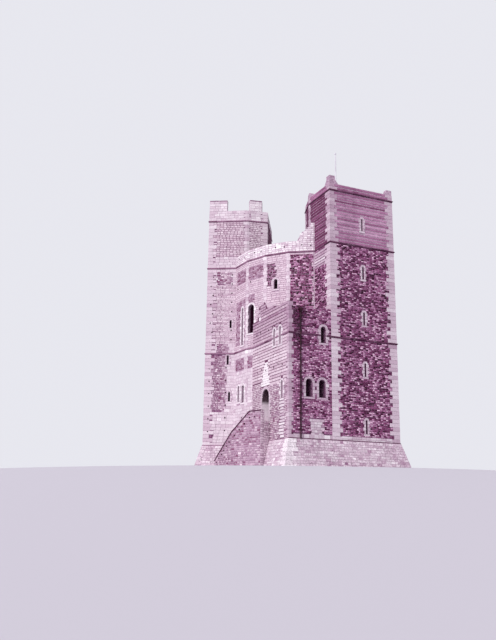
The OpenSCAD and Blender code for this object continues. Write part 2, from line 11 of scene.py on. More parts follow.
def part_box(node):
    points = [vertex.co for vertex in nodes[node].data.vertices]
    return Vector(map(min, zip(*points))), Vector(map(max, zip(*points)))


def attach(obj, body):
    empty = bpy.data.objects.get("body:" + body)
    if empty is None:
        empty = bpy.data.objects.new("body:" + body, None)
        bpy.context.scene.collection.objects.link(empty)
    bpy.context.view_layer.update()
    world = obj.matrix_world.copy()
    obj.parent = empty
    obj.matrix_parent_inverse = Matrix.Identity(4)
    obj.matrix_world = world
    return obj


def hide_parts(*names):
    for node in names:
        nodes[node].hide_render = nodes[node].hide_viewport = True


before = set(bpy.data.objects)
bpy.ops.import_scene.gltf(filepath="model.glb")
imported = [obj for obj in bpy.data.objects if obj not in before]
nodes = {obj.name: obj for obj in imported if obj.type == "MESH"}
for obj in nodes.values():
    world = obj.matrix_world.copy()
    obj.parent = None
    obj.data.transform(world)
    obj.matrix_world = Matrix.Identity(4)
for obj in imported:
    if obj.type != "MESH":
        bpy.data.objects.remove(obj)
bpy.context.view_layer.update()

# The wall core: rough stone and lime mortar, packed between the two faces of each wall. It shows
# in the joints of the facing, in the reveals of the openings, on broken wall heads and in the rooms.
core_tones = [(0.0, (0.58, 0.45, 0.54)), (0.5, (0.69, 0.57, 0.66)), (1.0, (0.79, 0.69, 0.76))]
core_joint = (0.77, 0.66, 0.74)
dark_core_tones = [(0.0, (0.33, 0.18, 0.29)), (0.5, (0.46, 0.30, 0.42)), (1.0, (0.58, 0.43, 0.54))]
dark_core_joint = (0.62, 0.44, 0.57)
run_colour = (0.33, 0.18, 0.29)
lichen_colour = (0.86, 0.78, 0.83)
# Painted shade of the rooms and of the deep reveals, with some soot: its colour, and the radii between which
# it fades out
room_shade_colour = (0.26, 0.09, 0.20)
room_shade_inner, room_shade_outer = 7.2, 7.42
hall_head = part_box("north_upper_wall")[1].z


def linear(colour):
    """A colour as it renders, from 0 to 1, as the shader wants it."""
    return (*[c ** 2.2 for c in colour], 1)


def node(tree, kind, settings=None, **sockets):
    """One shader node: its settings, then its inputs by name, with _ for a space."""
    made = tree.nodes.new(kind)
    for name, value in (settings or {}).items():
        setattr(made, name, value)
    for name, value in sockets.items():
        socket = made.inputs[name.replace("_", " ")]
        if isinstance(value, bpy.types.NodeSocket):
            tree.links.new(value, socket)
        else:
            socket.default_value = value
    return made


def ramp(tree, factor, stops):
    """A colour ramp from stops of a place and a colour."""
    made = node(tree, "ShaderNodeValToRGB", Fac=factor)
    while len(made.color_ramp.elements) < len(stops):
        made.color_ramp.elements.new(0.5)
    for element, (place, colour) in zip(made.color_ramp.elements, stops):
        element.position = place
        element.color = linear(colour)
    return made.outputs["Color"]


def fade(tree, value, low, high, most=1.0):
    """Rises from 0 to most as value goes from low to high."""
    made = node(tree, "ShaderNodeMapRange", Value=value, From_Min=low, From_Max=high, To_Max=most)
    return made.outputs["Result"]


def mix(tree, factor, a, b):
    """Two colours mixed; each is a socket or a colour as it renders."""
    made = node(tree, "ShaderNodeMix", {"data_type": "RGBA"})
    for name, value in (("Factor_Float", factor), ("A_Color", a), ("B_Color", b)):
        socket = next(s for s in made.inputs if s.identifier == name)
        if isinstance(value, bpy.types.NodeSocket):
            tree.links.new(value, socket)
        else:
            socket.default_value = linear(value) if isinstance(value, tuple) else value
    return next(s for s in made.outputs if s.identifier == "Result_Color")


def new_material(name, roughness, specular=0.2):
    """A new material, with its node tree and its shader."""
    material = bpy.data.materials.new(name)
    material.use_nodes = True
    shader = material.node_tree.nodes["Principled BSDF"]
    shader.inputs["Roughness"].default_value = roughness
    shader.inputs["Specular IOR Level"].default_value = specular
    return material, material.node_tree, shader


def place_of(tree, stretch=(1, 1, 1)):
    """Object coordinates, stretched."""
    where = node(tree, "ShaderNodeTexCoord").outputs["Object"]
    return node(tree, "ShaderNodeMapping", Vector=where, Scale=stretch).outputs["Vector"]


def coordinate(tree, axis):
    """One of the Object coordinates."""
    return node(tree, "ShaderNodeSeparateXYZ", Vector=place_of(tree)).outputs[axis]


def noise(tree, scale, detail=4, stretch=(1, 1, 1), roughness=0.6):
    """Soft noise over the piece, stretched."""
    made = node(tree, "ShaderNodeTexNoise", Vector=place_of(tree, stretch), Scale=scale, Detail=detail,
                Roughness=roughness)
    return made.outputs["Fac"]


def finish_stone(tree, shader, colour, grain, depth, runs=0.25, lichen=0.3, pits=0.3):
    """A stone's grain, and its colour under dark runs of rain, dark pits and pale blooms of lichen."""
    stains = ((noise(tree, 1.0, 5, (0.9, 0.9, 0.12)), 0.47, 0.75, runs, run_colour),
              (noise(tree, 2.6, 6, roughness=0.7), 0.54, 0.70, lichen, lichen_colour),
              (noise(tree, 7.5, 2, (1, 1, 1.6)), 0.60, 0.70, pits, run_colour))
    for pattern, low, high, most, stain in stains:
        colour = mix(tree, fade(tree, pattern, low, high, most), colour, stain)
    tree.links.new(colour, shader.inputs["Base Color"])
    bump = node(tree, "ShaderNodeBump", Height=grain, Strength=0.7, Distance=depth)
    tree.links.new(bump.outputs["Normal"], shader.inputs["Normal"])


def packed_rubble(name, stops, joint):
    """Rough stones of all tones, packed in mortar, and darkened inside the building, in the rooms and deep in
    the reveals: painted shade, with some soot.
    """
    material, tree, shader = new_material(name, 0.95, 0.1)
    packed = place_of(tree, (1, 1, 1.7))
    cells = node(tree, "ShaderNodeTexVoronoi", Vector=packed, Scale=7)
    edges = node(tree, "ShaderNodeTexVoronoi", {"feature": "DISTANCE_TO_EDGE"}, Vector=packed, Scale=7)
    cell_tone = node(tree, "ShaderNodeSeparateColor", Color=cells.outputs["Color"]).outputs[0]
    in_stone = fade(tree, edges.outputs["Distance"], 0.02, 0.09)
    radius = node(tree, "ShaderNodeVectorMath", {"operation": "LENGTH"}, Vector=place_of(tree, (1, 1, 0)))
    outside = fade(tree, radius.outputs["Value"], room_shade_inner, room_shade_outer)
    finish_stone(tree, shader, mix(tree, in_stone, joint, ramp(tree, cell_tone, stops)), in_stone, 0.01)
    roofless = fade(tree, coordinate(tree, "Z"), hall_head, hall_head + 0.05)
    weathered = shader.inputs["Base Color"].links[0].from_socket
    # Inside the fade and below the hall's head the colour turns to the painted shade of the rooms
    shaded_inside = mix(tree, outside, room_shade_colour, weathered)
    tree.links.new(mix(tree, roofless, shaded_inside, weathered), shader.inputs["Base Color"])
    return material


core = packed_rubble("lime_mortar_and_core", core_tones, core_joint)
dark_core = packed_rubble("dark_mortar_and_core", dark_core_tones, dark_core_joint)


def dress(material, *names):
    """Gives CAD nodes their finish."""
    for name in names:
        nodes[name].data.materials.clear()
        nodes[name].data.materials.append(material)


# Each turret by the way that it faces, and each stretch of the drum by the turret that it starts from
turrets = {"south": -90, "west": 150, "east": 30}
stretches = {"southwest": turrets["west"], "north": turrets["east"], "southeast": turrets["south"]}
dress(core, *[f"{s}_{level}_wall" for s in stretches for level in ("lower", "upper")], "drum_parapet",
      *[f"{t}_{part}" for t in turrets for part in ("inner_wall", "parapet")],
      "south_turret_top", "west_side_walls", "stair_side_wall")
dress(dark_core, "west_turret_top", "east_turret_top", *[f"{t}_front_wall" for t in turrets],
      "south_side_walls", "east_side_walls", "fore_front_wall")

# The plan: a drum of twenty-one flats, clasped by three turrets that taper inwards above it, with
# the forebuilding in the corner beside the south one. Every wall is faced along this outline.
sides = 21
flat_angle = 360 / sides
drum_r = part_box("north_upper_wall")[1].y
drum_flat = drum_r * math.cos(math.radians(flat_angle / 2))
turret_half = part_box("south_front_wall")[1].x
turret_reach = -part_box("south_front_wall")[0].y
turret_root = -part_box("south_inner_wall")[0].y
neck_reach = -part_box("south_turret_top")[1].y
neck_half = 2.57
fore_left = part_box("fore_front_wall")[0].x
plinth_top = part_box("south_front_wall")[0].z
middle_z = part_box("middle_string_course")[1].z
upper_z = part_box("upper_string_course")[1].z
turret_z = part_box("turret_string_courses")[1].z


def turned(angle, x, y):
    """A point of a turret's own plan, X outwards, as a point of the keep's plan."""
    a = math.radians(angle)
    return np.array([x * math.cos(a) - y * math.sin(a), x * math.sin(a) + y * math.cos(a)])


def drum_corner(angle, count, out=0.0):
    """A corner of the drum, counted round to the left from a turret's middle."""
    reach = drum_r + out / math.cos(math.radians(flat_angle / 2))
    return turned(angle + (count - 0.5) * flat_angle, reach, 0)


def drum_meets(angle, side, out=0.0):
    """Where a turret's side runs into the drum, with both grown by out."""
    half = turret_half + out
    reaches = [(drum_flat + out - half * math.sin(a)) / math.cos(a)
               for a in (math.radians(flat_angle), math.radians(2 * flat_angle))]
    return turned(angle, min(reaches), side * half)


class Face:
    """A flat stretch of wall seen from outside: u runs to the right, v up, d outwards."""

    def __init__(self, low_left, low_right, z0, z1, top_left=None, top_right=None):
        low_left, low_right = np.asarray(low_left, float), np.asarray(low_right, float)
        top_left = low_left if top_left is None else np.asarray(top_left, float)
        top_right = low_right if top_right is None else np.asarray(top_right, float)
        run = low_right - low_left
        self.width = float(np.linalg.norm(run))
        along = run / self.width
        outward = np.array([along[1], -along[0]])
        self.z0, self.z1 = z0, z1
        self.ends = (float((top_left - low_left) @ along), float((top_right - low_right) @ along))
        self.lean = float((top_left - low_left) @ outward) / (z1 - z0)
        self.origin = np.array([*low_left, 0.0])
        self.t = np.array([*along, 0.0])
        self.o = np.array([*outward, 0.0])
        self.n = (self.o + np.array([0, 0, -self.lean])) / math.hypot(1, self.lean)
        self.taken = []

    def at(self, u, v, d):
        """Points of the face as points of the keep."""
        u, v, d = np.broadcast_arrays(u, v, d)
        rise = (v - self.z0) * self.lean
        return (self.origin + u[..., None] * self.t + rise[..., None] * self.o + d[..., None] * self.n
                + v[..., None] * np.array([0, 0, 1.0]))

    def span(self, v):
        """The two ends of the face at a height."""
        share = (v - self.z0) / (self.z1 - self.z0)
        return self.ends[0] * share, self.width + self.ends[1] * share

    def take(self, u0, u1, v0, v1):
        """Keeps the field stones out of a box of the face."""
        self.taken.append((u0, u1, v0, v1))


def faces_along(points, z0, z1):
    """The faces between the points of a plan, one after the other."""
    return [Face(a, b, z0, z1) for a, b in zip(points, points[1:])]


def put_in_place(mesh, name, material):
    """Makes an object of a mesh, with its finish, riding on the keep."""
    made = bpy.data.objects.new(name, mesh)
    bpy.context.scene.collection.objects.link(made)
    mesh.materials.append(material)
    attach(made, "root")
    return made


class Masonry:
    """Stones of one kind, gathered and then made one mesh. Each stone carries its own tone."""

    def __init__(self, name, material, slot, seed, smooth=False):
        self.name, self.material, self.slot, self.smooth = name, material, slot, smooth
        self.random = np.random.default_rng(seed)
        self.points, self.quads, self.tones, self.count = [], [], [], 0

    def add(self, rings, tones, caps=((0, 1, 2, 3),)):
        """Stones as rings of points, from the first cap to the last: (stones, rings, points, 3)."""
        stones, levels, around = rings.shape[:3]
        quads = [list(cap)[::-1] for cap in caps]
        for low in range(0, (levels - 1) * around, around):
            quads += [[low + i, low + (i + 1) % around, low + around + (i + 1) % around, low + around + i]
                      for i in range(around)]
        quads += [[(levels - 1) * around + i for i in cap] for cap in caps]
        starts = self.count + np.arange(stones)[:, None, None] * around * levels
        self.quads.append((np.array(quads)[None] + starts).reshape(-1, 4))
        self.points.append(rings.reshape(-1, 3))
        self.tones.append(np.repeat(tones, around * levels))
        self.count += stones * around * levels

    def blocks(self, face, corners, proud, pillow=0.012, ragged=0.0, tones=0.5, back=0.03):
        """Stones with the given corners (stones, 4, 2) on a face, which stand proud of it."""
        corners = np.asarray(corners, float)
        n = len(corners)
        if n == 0:
            return
        middle = corners.mean(1, keepdims=True)
        size = np.abs(corners[:, 2] - corners[:, 0]).min(1)[:, None, None]
        shift = self.random.uniform(0, 1, (n, 4, 2)) * ragged * size
        corners = corners + np.sign(middle - corners) * shift
        inset = np.minimum(pillow, 0.3 * size)
        front = corners + np.clip(middle - corners, -inset, inset)
        proud = np.broadcast_to(np.asarray(proud, float), (n,))[:, None]
        tilt = 1 + self.random.uniform(-1, 1, (n, 4)) * (0.15 + ragged)
        levels = [face.at(corners[..., 0], corners[..., 1], np.full((n, 4), -back)),
                  face.at(corners[..., 0], corners[..., 1], proud * 0.55 * tilt),
                  face.at(front[..., 0], front[..., 1], proud * tilt)]
        if pillow < 0.01:
            levels.pop(1)
        self.add(np.stack(levels, 1), np.broadcast_to(tones, (n,)))

    def field(self, face, z0, z1, course, length, joint, proud, pillow=0.012, ragged=0.0, vary=0.2,
              upright=None, head=None, tone=0.5, spread=0.3, rows=0.0, within=None, wander=0.13, takes=False):
        """Fills a face with courses between two heights, round whatever is taken already.

        tone is the mean or a function of the place, and rows the share of its spread that a
        whole course has in common. A patch that takes its place keeps later fields off it."""
        random = self.random
        heights = []
        while sum(heights) < z1 - z0 - 0.4 * course:
            heights.append(course * random.uniform(1 - vary, 1 + vary))
        heights = np.array(heights) * (z1 - z0) / sum(heights)
        made, made_tones, finished, low = [], [], [], z0
        for height in heights:
            high = low + height
            left, right = face.span((low + high) / 2)
            if within is not None:
                left = max(left, within[0] + random.uniform(-wander, wander))
                right = min(right, within[1] + random.uniform(-wander, wander))
            free = [(left, right)] if right > left else []
            for u0, u1, v0, v1 in face.taken:
                if min(v1, high) - max(v0, low) > 0.3 * height:
                    free = [piece for a, b in free for piece in ((a, min(b, u0)), (max(a, u1), b))
                            if piece[1] - piece[0] > 0.05]
            row_tone = random.normal(0, 1)
            for a, b in free:
                u = a
                while b - u > 0.02:
                    run = length * random.uniform(1 - 1.6 * vary, 1 + 1.6 * vary)
                    if b - u - run < 0.45 * length:
                        run = b - u
                    end = u + run
                    if head is None or high - 0.5 * height < head((u + end) / 2):
                        g, h = (upright or joint) / 2, joint / 2
                        made.append([(u + g, low + h), (end - g, low + h),
                                     (end - g, high - h), (u + g, high - h)])
                        made_tones.append(row_tone)
                    u = end
                if takes:
                    finished.append((a, b, low, high))
            low = high
        face.taken += finished
        if not made:
            return
        n = len(made)
        shade = rows * np.array(made_tones) + (1 - rows) * random.normal(0, 1, n)
        mean = [tone(*np.mean(c, 0)) for c in made] if callable(tone) else tone
        stone_tones = np.clip(mean + spread * shade, 0, 1)
        self.blocks(face, made, proud * random.uniform(0.6, 1.3, n), pillow, ragged, stone_tones)

    def finish(self):
        """Makes the mesh, with its tones, and puts it in place."""
        mesh = bpy.data.meshes.new(self.name)
        points = np.concatenate(self.points)
        quads = np.concatenate(self.quads)
        mesh.vertices.add(len(points))
        mesh.vertices.foreach_set("co", points.astype(np.float32).ravel())
        mesh.loops.add(quads.size)
        mesh.loops.foreach_set("vertex_index", quads.astype(np.int32).ravel())
        mesh.polygons.add(len(quads))
        mesh.polygons.foreach_set("loop_start", np.arange(0, quads.size, 4, dtype=np.int32))
        mesh.update(calc_edges=True)
        tone = mesh.attributes.new("tone", "FLOAT", "POINT")
        tone.data.foreach_set("value", np.concatenate(self.tones).astype(np.float32))
        mesh.validate()
        if not self.smooth:
            mesh.shade_flat()
        return put_in_place(mesh, self.name, self.material)


def stone_material(name, stops, mottle, grain_size, depth, roughness=0.9, blocks=None, **weather):
    """Stone whose colour follows each block's own tone, or that of blocks of a size, mottled within."""
    material, tree, shader = new_material(name, roughness)
    if blocks:
        cells = node(tree, "ShaderNodeTexVoronoi", {"distance": "CHEBYCHEV"}, Vector=place_of(tree),
                     Scale=1 / blocks)
        tone = node(tree, "ShaderNodeSeparateColor", Color=cells.outputs["Color"]).outputs[0]
    else:
        tone = node(tree, "ShaderNodeAttribute", {"attribute_name": "tone"}).outputs["Fac"]
    colour = ramp(tree, tone, stops)
    patch = noise(tree, 9, 3)
    dark = node(tree, "ShaderNodeMapRange", Value=patch, From_Min=0.3, From_Max=0.7, To_Min=1 - mottle,
                To_Max=1 + mottle).outputs["Result"]
    colour = node(tree, "ShaderNodeVectorMath", {"operation": "SCALE"}, Vector=colour, Scale=dark)
    finish_stone(tree, shader, colour.outputs["Vector"], noise(tree, grain_size, 6), depth, **weather)
    return material


# Dressed stone: long and short quoins at every corner, and a surround of jambs, sill and arch ring
# round each opening. It is the pale limestone that was cut square and laid with fine joints.
ashlar_tones = [(0.0, (0.56, 0.41, 0.52)), (0.25, (0.69, 0.565, 0.65)), (0.5, (0.785, 0.695, 0.755)),
                (0.75, (0.86, 0.80, 0.84)), (1.0, (0.95, 0.915, 0.935))]
dressed = stone_material("dressed_limestone", ashlar_tones, 0.1, 45, 0.006, 0.85, runs=0.12, lichen=0.25)
reveal_tones = [(0.0, (0.70, 0.58, 0.67)), (1.0, (0.86, 0.78, 0.83))]
worked = stone_material("worked_limestone", reveal_tones, 0.1, 45, 0.004, 0.85, 0.4, runs=0.2, lichen=0.2)
quoin_course, quoin_long, quoin_short = 0.34, 0.85, 0.6
quoin_proud, quoin_joint, arris, bedded = 0.026, 0.012, 0.008, 0.04
sill_deep, sill_past, sill_joint = 0.17, 0.2, 0.01


def corner_blocks(stones, left, right, z0, z1, lengths, proud=quoin_proud, tone=0.56):
    """Blocks that turn the corner between two faces, each longer on one side than the one below."""
    apex = (left.n + right.n) / (1 + left.n @ right.n)
    rows = max(1, round((z1 - z0) / quoin_course))
    height = (z1 - z0) / rows
    rings = []
    for row in range(rows):
        low = z0 + row * height + quoin_joint / 2
        high = z0 + (row + 1) * height - quoin_joint / 2
        on_left, on_right = lengths if row % 2 else lengths[::-1]
        on_left *= stones.random.uniform(0.85, 1.15)
        on_right *= stones.random.uniform(0.85, 1.15)
        end = left.span((low + high) / 2)[1]
        start = right.span((low + high) / 2)[0]
        left.take(end - on_left, end + 1, low, high)
        right.take(start - 1, start + on_right, low, high)
        out = proud * stones.random.uniform(0.8, 1.2)
        levels = []
        for z, d in ((low, out - arris), (low + arris, out), (high - arris, out), (high, out - arris)):
            corner = left.at(left.span(z)[1], z, 0)
            levels.append([left.at(end - on_left, z, -bedded), left.at(end - on_left, z, d),
                           corner + apex * d, right.at(start + on_right, z, d),
                           right.at(start + on_right, z, -bedded), corner - apex * bedded])
        rings.append(levels)
    tones = np.clip(stones.random.normal(tone, 0.09, rows), 0, 1)
    stones.add(np.array(rings), tones, caps=[[0, 1, 2, 5], [5, 2, 3, 4]])


def surround(stones, face, u, sill, width, height, jamb, ring, proud=0.035, tone=0.58):
    """Jambs, sill and arch ring round one round-headed opening, which the field stones then leave free."""
    half, spring = width / 2, sill + height - width / 2
    rows = max(1, round((spring - sill) / 0.29))
    step = (spring - sill) / rows
    first, last = u - half - sill_past, u + half + sill_past
    corners = [[(first, sill - sill_deep), (last, sill - sill_deep), (last, sill - sill_joint),
                (first, sill - sill_joint)]]
    face.take(first, last, sill - sill_deep, sill)
    for row in range(rows):
        low, high, reach = sill + row * step, sill + (row + 1) * step, half + jamb[row % 2]
        face.take(u - reach, u + reach, low, high)
        for a, b in ((u - reach, u - half), (u + half, u + reach)):
            corners.append([(a, low + 0.005), (b, low + 0.005), (b, high - 0.005), (a, high - 0.005)])
    outer = half + ring
    count = 2 * round(math.pi * (half + outer) / 2 / 0.2 / 2) + 1 if width > 0.25 else 3
    for k in range(count):
        a0, a1 = math.pi * (k + 0.01) / count, math.pi * (k + 0.99) / count
        corners.append([(u + r * math.cos(a), spring + r * math.sin(a))
                        for r, a in ((half, a0), (outer, a0), (outer, a1), (half, a1))])
    bands = max(3, round(outer / 0.09))
    for k in range(bands):
        low, high = outer * k / bands, outer * (k + 1) / bands
        reach = math.sqrt(outer ** 2 - ((low + high) / 2) ** 2)
        face.take(u - reach, u + reach, spring + low, spring + high)
    tones = np.clip(stones.random.normal(tone, 0.08, len(corners)), 0, 1)
    stones.blocks(face, corners, proud, 0.008, tones=tones, back=0.05)


# The turrets: rubble faces between the quoins, lit by one loop over another, and above the drum a
# stage of thin level courses up to the string course and the parapet. Much of the west turret's side
# was refaced with smooth ashlar, which leaves the rubble as panels.
rubble_tones = [(0.0, (0.20, 0.02, 0.13)), (0.3, (0.37, 0.11, 0.28)), (0.52, (0.56, 0.31, 0.47)),
                (0.75, (0.73, 0.51, 0.66)), (1.0, (0.89, 0.73, 0.83))]
thin_tones = [(0.0, (0.38, 0.17, 0.30)), (0.4, (0.53, 0.31, 0.45)), (0.75, (0.66, 0.45, 0.59)),
              (1.0, (0.80, 0.62, 0.74))]
squared_tones = [(0.0, (0.50, 0.29, 0.41)), (0.35, (0.67, 0.54, 0.63)), (0.7, (0.79, 0.69, 0.75)),
                 (1.0, (0.90, 0.83, 0.87))]
rubble_stone = stone_material("dark_rubble", rubble_tones, 0.35, 30, 0.012, 0.92, runs=0.1, lichen=0.06,
                              pits=0.1)
thin_stone = stone_material("thin_coursed_stone", thin_tones, 0.15, 40, 0.006, runs=0.2, lichen=0.12)
squared_stone = stone_material("squared_rubble", squared_tones, 0.15, 35, 0.008, runs=0.15, lichen=0.2)
rubble_laid = dict(course=0.13, length=0.25, joint=0.03, proud=0.03, pillow=0.03, ragged=0.14)
level_laid = dict(course=0.26, length=0.55, joint=0.08, proud=0.022, pillow=0.008, ragged=0.03, vary=0.1,
                  upright=0.02)
thin_laid = dict(course=0.14, length=0.42, joint=0.026, proud=0.022, pillow=0.008, ragged=0.03, vary=0.12)
squared_laid = dict(course=0.15, length=0.26, joint=0.022, proud=0.022, pillow=0.008, ragged=0.06)
block_laid = dict(course=0.19, length=0.33, joint=0.024, proud=0.022, pillow=0.008, ragged=0.03, vary=0.08)
ashlar_laid = dict(course=0.28, length=0.46, joint=0.012, proud=0.018, pillow=0.005, vary=0.14)


def panel(stones, face, u0, u1, z0, z1, laid, **tone):
    """A patch of one kind of walling with wandering edges, which later stones keep round."""
    stones.field(face, z0, z1, within=(u0, u1), takes=True, **laid, **tone)


def foot_course(stones, face):
    """One course of pale ashlar along the foot of a rubble face."""
    panel(stones, face, *whole_face, plinth_top + 0.01, plinth_top + 0.38, ashlar_laid, tone=0.66,
          spread=0.12)


# From before the start of any face to past its end
whole_face = -1, 9
loop_width, loop_height, loop_jamb = 0.18, 1.15, (0.14, 0.24)
loop_sills = [3.05, 7.75, 12.15, 16.2, 20.6]
side_loops = [(7.3, 6.4), (7.5, 9.8), (7.3, 13.28)]
side_loop_height = 0.88
turret_head_top = {"south": turret_z + 0.55, "west": turret_z + 1.0, "east": turret_z + 1.0}

shafts, heads = {}, {}
for name, angle in turrets.items():
    front_left = turned(angle, turret_reach, -turret_half)
    front_right = turned(angle, turret_reach, turret_half)
    plan = [drum_meets(angle, -1), front_left, front_right, drum_meets(angle, 1)]
    shafts[name] = faces_along(plan, plinth_top, upper_z)
    plan = [turned(angle, neck_reach, -neck_half), turned(angle, turret_root, -turret_half), front_left,
            front_right, turned(angle, turret_root, turret_half), turned(angle, neck_reach, neck_half)]
    heads[name] = faces_along(plan + plan[:1], upper_z, turret_head_top[name])

string_deep = 0.15
string_levels = [(z - string_deep, z) for z in (middle_z, upper_z, turret_z)]
white_course_top = upper_z + 1.1
lifts = [(plinth_top, string_levels[0][0]), (middle_z, string_levels[1][0])]
# The panels of rubble on the west turret's sides: from and to, off the front corner, foot, head, how it
# is laid, tone, spread and rows
west_panels = [
    (0.62, 2.0, 5.6, 10.6, squared_laid, 0.46, 0.28, 0.0),
    (1.1, 2.1, 10.95, 11.7, squared_laid, 0.4, 0.25, 0.0),
    (0.9, 2.3, 17.6, 18.8, squared_laid, 0.5, 0.3, 0.0),
    (0.3, 2.75, 11.75, 17.5, thin_laid, 0.85, 0.16, 0.5)]
# On the other two turrets a band of level courses crosses the sides high up
side_band = 17.4, 18.9
# How light the courses of the upper stage are, face by face from the drum round. The west turret's
# near-black inner end is painted shade.
head_tones = {"south": (0.1, 0.1, 0.68, 0.5, 0.5, 0.5), "west": (0.5, 0.6, 0.6, 0.78, 0.86, 0.05),
              "east": (0.5, 0.5, 0.5, 0.5, 0.5, 0.5)}
for seed, name in enumerate(turrets):
    quoins = Masonry(f"{name}_turret_ashlar", dressed, "ashlar", 100 + seed)
    rubble = Masonry(f"{name}_turret_rubble", rubble_stone, "rubble", 200 + seed, smooth=True)
    courses = Masonry(f"{name}_turret_courses", thin_stone if name == "south" else squared_stone,
                      "coursed_stone", 300 + seed)
    left, front, right = shafts[name]
    for low, high in lifts:
        corner_blocks(quoins, left, front, low, high, (quoin_long, quoin_short),
                      tone=0.68 if low == plinth_top else 0.56)
        corner_blocks(quoins, front, right, low, high, (quoin_short, quoin_long))
    for sill in loop_sills[:4]:
        surround(quoins, front, front.width / 2, sill, loop_width, loop_height, loop_jamb, 0.18)
    for face in (left, right):
        if name == "west":
            if face is right:
                for out, sill in side_loops:
                    surround(quoins, face, turret_reach - out, sill, loop_width, side_loop_height, loop_jamb,
                             0.16)
            for near, far, z0, z1, laid, tone, spread, rows in west_panels:
                ends = (near, far) if face is right else (face.width - far, face.width - near)
                panel(courses, face, *ends, z0, z1, laid, tone=tone, spread=spread, rows=rows)
            for low, high in lifts:
                quoins.field(face, low + 0.01, high - 0.01, **ashlar_laid, tone=0.7, spread=0.08)
        else:
            panel(quoins, face, *whole_face, *side_band, level_laid | {"joint": 0.06}, tone=0.5, spread=0.18,
                  rows=0.8)
    for face in (left, front, right):
        if name != "west" or face is front:
            foot_course(quoins, face)
            for low, high in lifts:
                rubble.field(face, low + 0.02, high - 0.01, **rubble_laid, tone=0.54, spread=0.34)
    ring = heads[name]
    for a, b in zip(ring, ring[1:] + ring[:1]):
        sharp = a.n @ b.n < 0.5
        for low, high in ((upper_z, string_levels[2][0]), (turret_z, a.z1)):
            corner_blocks(quoins, a, b, low, high, (0.72, 0.46) if sharp else (0.34, 0.22),
                          tone=0.44 if name == "south" else 0.6)
    surround(quoins, ring[2], ring[2].width / 2, loop_sills[4], loop_width, loop_height, loop_jamb, 0.18)
    for face, tone in zip(ring, head_tones[name]):
        low = upper_z
        if name == "west":
            low = white_course_top
            quoins.field(face, upper_z + 0.01, low, **ashlar_laid, tone=0.68, spread=0.09)
        laid, rows = (level_laid, 0.8) if name == "south" else (block_laid, 0.1)
        spread = 0.17 if name == "south" else 0.1
        if tone < 0.15:
            laid = laid | {"joint": 0.04}
        courses.field(face, low + 0.01, string_levels[2][0], **laid, tone=tone, spread=spread, rows=rows)
        if name == "south":
            courses.field(face, turret_z + 0.01, face.z1, **laid, tone=0.64, spread=0.12)
        else:
            quoins.field(face, turret_z + 0.01, face.z1, **ashlar_laid, tone=0.74, spread=0.1)
    for made in (quoins, rubble, courses):
        made.finish()

# The drum: three stretches of flats between the turrets, faced with ashlar at the corners and below,
# and with panels of mauve and dark rubble between the corners. Round-headed lights open the halls:
# each is a facet, a place off its middle, a sill, a width and a height.
hall_lights = [(0, 0.35, 11.35, 0.36, 3.5), (1, -0.57, 12.25, 0.76, 2.65), (2, -0.08, 15.9, 0.35, 0.9),
               (0, -0.2, 6.23, 0.3, 1.45), (0, 0.65, 6.1, 0.45, 1.6)]
half_facet = drum_r * math.sin(math.radians(flat_angle / 2))
# The stubs of flats beside the turrets, narrower than this, have no quoins
stub = 0.3
# The mauve patches on the first two of the four whole facets: facet, from, to, foot, head, tone
drum_patches = [
    (0, 0.3, 2.0, 17.25, 18.45, 0.2), (0, 0.25, 2.0, 11.4, 15.6, 0.34), (0, 0.3, 1.9, 9.1, 10.1, 0.2),
    (1, 0.15, 2.1, 17.25, 18.45, 0.22), (1, 0.15, 1.0, 12.0, 15.8, 0.34), (1, 0.2, 1.95, 9.1, 10.1, 0.2)]
for seed, (stretch, angle) in enumerate(stretches.items()):
    pale = Masonry(f"{stretch}_drum_ashlar", dressed, "ashlar", 400 + seed)
    mauve = Masonry(f"{stretch}_drum_patches", squared_stone, "coursed_stone", 500 + seed)
    dark = Masonry(f"{stretch}_drum_rubble", rubble_stone, "rubble", 600 + seed, smooth=True)
    plan = [drum_meets(angle, 1), *[drum_corner(angle, k) for k in range(2, 7)], drum_meets(angle + 120, -1)]
    walls = faces_along(plan, plinth_top, upper_z)
    facets = walls[1:5]
    for low, high in lifts:
        for a, b in zip(walls, walls[1:]):
            if min(a.width, b.width) > stub:
                corner_blocks(pale, a, b, low, high, (0.24, 0.16), 0.022, 0.62)
    for count, along, sill, width, height in hall_lights:
        surround(pale, facets[count], half_facet + along, sill, width, height, (0.16, 0.26), 0.18, 0.035,
                 0.6 if sill > 15 else 0.85)
    for count, u0, u1, z0, z1, tone in drum_patches:
        panel(mauve, facets[count], u0, u1, z0, z1, squared_laid | {"wander": 0.05}, tone=tone, spread=0.2)
    panel(dark, facets[2], 0.12, 1.05, 16.2, 18.3, rubble_laid, tone=0.35, spread=0.2)
    panel(dark, facets[3], 0.1, 2.2, 11.0, 18.9, rubble_laid | {"joint": 0.012}, tone=0.48)
    for face in walls:
        for low, high in lifts:
            if low == middle_z:
                mauve.field(face, low + 0.01, high - 0.01, **thin_laid | {"course": 0.19}, tone=0.78,
                            spread=0.1, rows=0.4)
            else:
                pale.field(face, low + 0.01, high - 0.01, **ashlar_laid, tone=0.66, spread=0.08)
    for made in (pale, mauve, dark):
        made.finish()

# The forebuilding: two storeys in the corner between the south turret and the drum. Its front is dark
# rubble, its side is laid in bands of mauve and pale stone, and both wall heads are broken.
fore_top = 13.45
fore_front = -turret_reach
